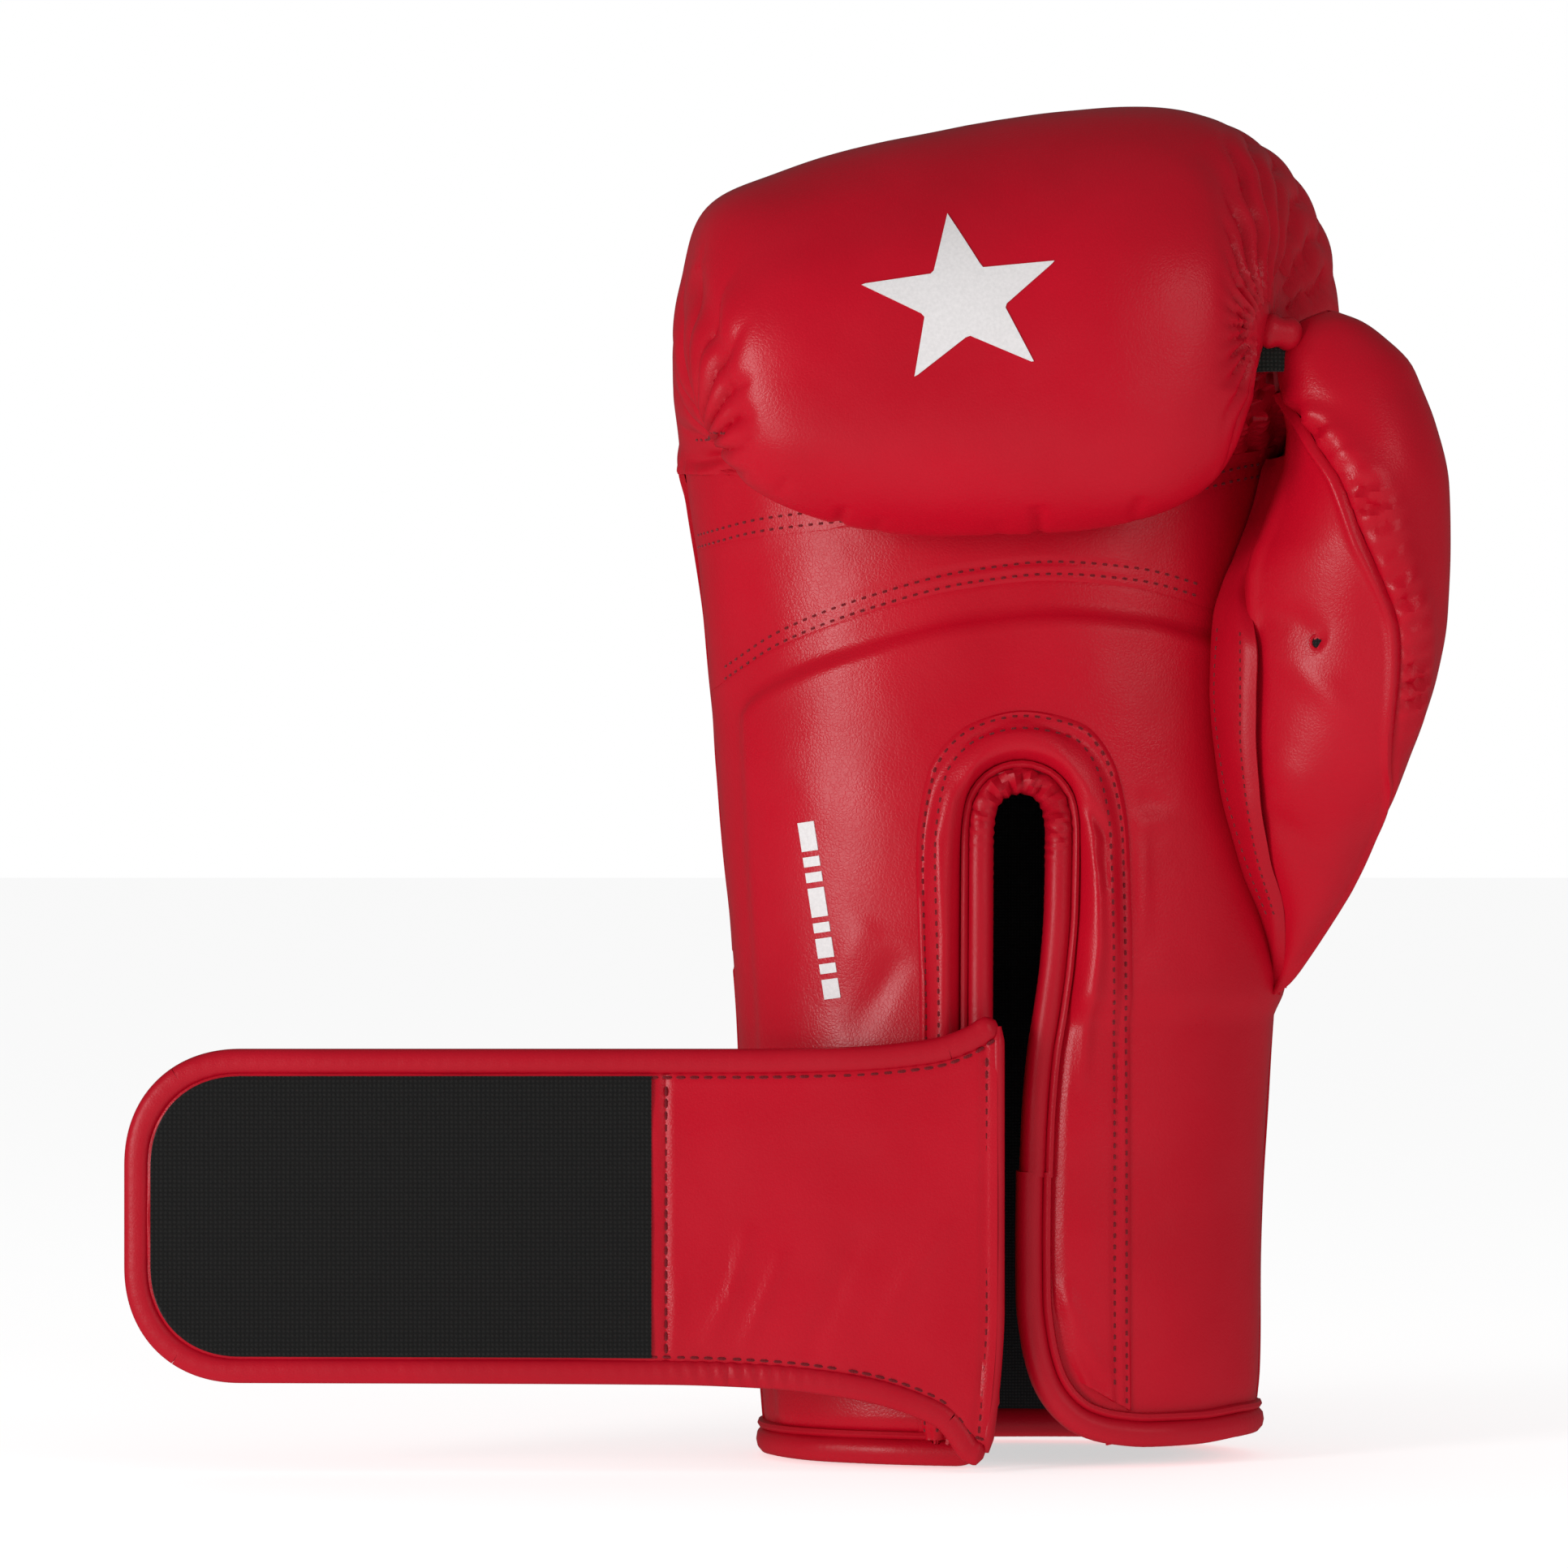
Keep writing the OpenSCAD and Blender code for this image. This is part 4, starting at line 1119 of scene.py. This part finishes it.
def bars(tree, name, line, width, lengths, gap):
    """Row of plain bars printed across a line."""
    line = straight(line, 0.5)
    vertices, faces, at = [], [], 0.0
    direction = unit(line[-1] - line[0])
    side = np.array([direction[1], -direction[0]])
    for length in lengths:
        base = line[0] + direction * at
        at += length + gap
        start = len(vertices)
        n, m = 5, 5
        layer = n * m
        for lift in (0.25, -0.3):
            for i in range(n):
                for j in range(m):
                    p = base + direction * length * i / (n - 1) + side * width * (j / (m - 1) - 0.5)
                    hit, normal = on_front(tree, p[0], p[1])
                    vertices.append(hit + normal * lift)
        for i in range(n - 1):
            for j in range(m - 1):
                a, b, c, e = (start + i * m + j, start + i * m + j + 1, start + (i + 1) * m + j + 1,
                              start + (i + 1) * m + j)
                faces += [(a, b, c, e), (a + layer, e + layer, c + layer, b + layer)]
        rows, columns = [i * m for i in range(n)], list(range(m))
        border = rows, [i + m - 1 for i in rows], columns, [(n - 1) * m + j for j in columns]
        for edge in border:
            faces += [(start + p, start + q, start + layer + q, start + layer + p)
                      for p, q in zip(edge[:-1], edge[1:])]
    return make_object(name, vertices, faces, WHITE)


# --------------------------------------------------------------------------- putting it together
def stand_for(obj, body, slot, *nodes):
    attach(obj, body)
    if nodes:
        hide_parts(*nodes)
    return obj


fist = build_fist()
lower, middle, upper = build_palm()
facing = build_facing()
piping, binding = build_edges()
cuff_back, loop_pile = build_back()
lining = build_lining()
thumb_pad, thumb_panel = build_thumb()
gusset, web = build_strip(), build_web()
webbing, tab = build_lock()
fold_roll, anchor = build_root()

vent_hole, vent_rim = build_vent(tree_of(thumb_panel))
palm_tree = tree_of(lower, middle, upper)
facing_tree = tree_of(facing)
rows = []
for line, low, high in ((SEAM_A, -70, 58), (SEAM_B, -64, 44)):
    xs = np.linspace(low, high, 60)
    for shift in (1.6, 4.3):
        zs = curve(line, xs) + shift
        rows.append(stitches("seam", *front_line(palm_tree, np.stack([xs, zs], 1)), THREAD))
side = [(-70.5, 229.6), (-66, 229.2), (-62.5, 228.6)]
rows.append(stitches("seam", *front_line(tree_of(fist), side), THREAD))
palm_stitching = joined("palm_seam_stitching", rows)
rows = []
outline = resample(FACING_OUT, 1.0)
inward = unit(np.gradient(outline, axis=0))
inward = np.stack([inward[:, 1], -inward[:, 0]], 1)
for shift in (1.3, 4.0):
    rows.append(stitches("facing", *front_line(facing_tree, outline + inward * shift), THREAD))
facing_stitching = joined("facing_stitching", rows)
rows = []
gusset_tree = tree_of(gusset)
for line, shift in ((STRIP_L[2:7], 1.5), (STRIP_R, -1.3)):
    xz = resample([(x + shift, z) for z, x in line], 1.0)
    rows.append(stitches("gusset", *front_line(gusset_tree, xz), THREAD, 2.0, 1.3, 0.3))
gusset_stitching = joined("gusset_stitching", rows)

fist_tree = tree_of(fist)
star_print = star(fist_tree, "front_print_star", (-11.5, 257.5), 22.5, 9.2, 8, 0.86)
size_marks = bars(palm_tree, "side_print_bars", [(-45.5, 143.5), (-39.5, 104)], 3.6,
                  (6.5, 2.2, 2.2, 6.5, 2.2, 4.4, 2.2, 4.4), 1.3)

stand_for(fist, "glove", "red_leather", "fist_cover", "knuckle_foam", "back_foam", "grip_foam", "grip_bar",
          "finger_lining")
stand_for(lower, "glove", "red_leather", "lower_palm_panel", "palm_foam", "cuff_foam_left", "cuff_foam_right")
stand_for(middle, "glove", "red_leather", "middle_palm_panel")
stand_for(upper, "glove", "red_leather", "upper_palm_panel")
stand_for(facing, "glove", "red_leather", "slit_facing")
stand_for(piping, "glove", "red_binding", "slit_piping")
stand_for(binding, "glove", "red_binding", "cuff_binding")
stand_for(cuff_back, "glove", "red_leather", "cuff_back_panel", "cuff_foam_back")
stand_for(loop_pile, "glove", "red_loop_pile", "loop_patch")
stand_for(lining, "glove", "black_lining", "hand_lining", "cuff_lining")
stand_for(thumb_pad, "glove", "red_leather", "thumb_cover", "thumb_foam", "thumb_lining")
stand_for(thumb_panel, "glove", "red_leather", "thumb_inner_panel")
stand_for(gusset, "glove", "red_binding", "thumb_gusset")
stand_for(web, "glove", "red_leather", "thumb_web")
stand_for(webbing, "glove", "black_webbing", "thumb_lock")
stand_for(tab, "glove", "red_leather")
stand_for(vent_hole, "glove", "black_lining")
stand_for(vent_rim, "glove", "red_leather")
stand_for(anchor, "glove", "red_binding", "strap_anchor")
stand_for(fold_roll, "strap_1", "red_binding")
stand_for(star_print, "glove", "white_print", "front_print")
stand_for(size_marks, "glove", "white_print", "size_print")
stand_for(palm_stitching, "glove", "red_binding")
stand_for(facing_stitching, "glove", "red_binding")
stand_for(gusset_stitching, "glove", "red_binding")

for parts, body, after, d0, d1 in build_strap():
    for part in parts:
        kind = part.name.rsplit("_slice_")[0]
        if after is None:
            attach(part, f"strap_{body}")
        else:
            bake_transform(part)
        if kind in ("strap_leather", "strap_binding", "hook_patch"):
            number = after or body
            stood = [n for n in (f"{kind}_{number}", f"{kind}_{body}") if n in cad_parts]
            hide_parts(*sorted(set(stood)))

# --------------------------------------------------------------------------- camera, floor and light
CAMERA_AT = Vector((-0.0504, -1.79, 0.152))
camera = bpy.data.objects.new("camera", bpy.data.cameras.new("camera"))
camera.data.lens = 36 * 1.75 / 0.3478
camera.data.sensor_width = 36
camera.location = CAMERA_AT
camera.rotation_euler = (math.radians(90), 0, 0)
camera.data.clip_end = 50
camera.data.dof.use_dof = False
bpy.context.scene.collection.objects.link(camera)
bpy.context.scene.camera = camera


def floor_material():
    material, _, _, shader = new_material("pale_floor")
    shader.inputs["Base Color"].default_value = (0.93, 0.93, 0.93, 1)
    shader.inputs["Roughness"].default_value = 0.9
    shader.inputs["Specular IOR Level"].default_value = 0.0
    shader.inputs["Emission Color"].default_value = (1, 1, 1, 1)
    shader.inputs["Emission Strength"].default_value = 0.6
    return material


bpy.ops.mesh.primitive_plane_add(size=16, location=(0, 3, 0))
floor = bpy.context.object
floor.name = "floor"
floor.data.materials.append(floor_material())
floor.visible_glossy = False


def softbox(name, place, target, size, power):
    light = bpy.data.objects.new(name, bpy.data.lights.new(name, "AREA"))
    light.data.shape = "RECTANGLE"
    light.data.size, light.data.size_y = size
    light.data.energy = power
    light.location = place
    light.rotation_mode = "QUATERNION"
    light.rotation_quaternion = (Vector(target) - Vector(place)).to_track_quat("-Z", "Y")
    bpy.context.scene.collection.objects.link(light)


softbox("key", (-1.2, -1.15, 0.36), (-0.03, 0, 0.17), (0.42, 0.5), 9.2)
softbox("low", (-0.42, -0.55, 0.05), (-0.03, -0.05, 0.24), (0.2, 0.08), 0.35)
softbox("fill", (0.9, -1.2, 0.6), (0.0, 0, 0.17), (0.5, 0.5), 2)

WORLD_FILL = 0.37
WORLD_GLOSS = 0.07
world = bpy.data.worlds.new("world")
bpy.context.scene.world = world
world.use_nodes = True
sky = world.node_tree.nodes["Background"]
path = world.node_tree.nodes.new("ShaderNodeLightPath")
level = world.node_tree.nodes.new("ShaderNodeMix")
level.inputs[2].default_value = WORLD_FILL
level.inputs[3].default_value = 1.0
gloss = world.node_tree.nodes.new("ShaderNodeMix")
gloss.inputs[3].default_value = WORLD_GLOSS
world.node_tree.links.new(path.outputs["Is Camera Ray"], level.inputs[0])
world.node_tree.links.new(path.outputs["Is Glossy Ray"], gloss.inputs[0])
world.node_tree.links.new(level.outputs[0], gloss.inputs[2])
world.node_tree.links.new(gloss.outputs[0], sky.inputs["Strength"])
sky.inputs["Color"].default_value = (1, 1, 1, 1)
bpy.context.scene.view_settings.view_transform = "Standard"
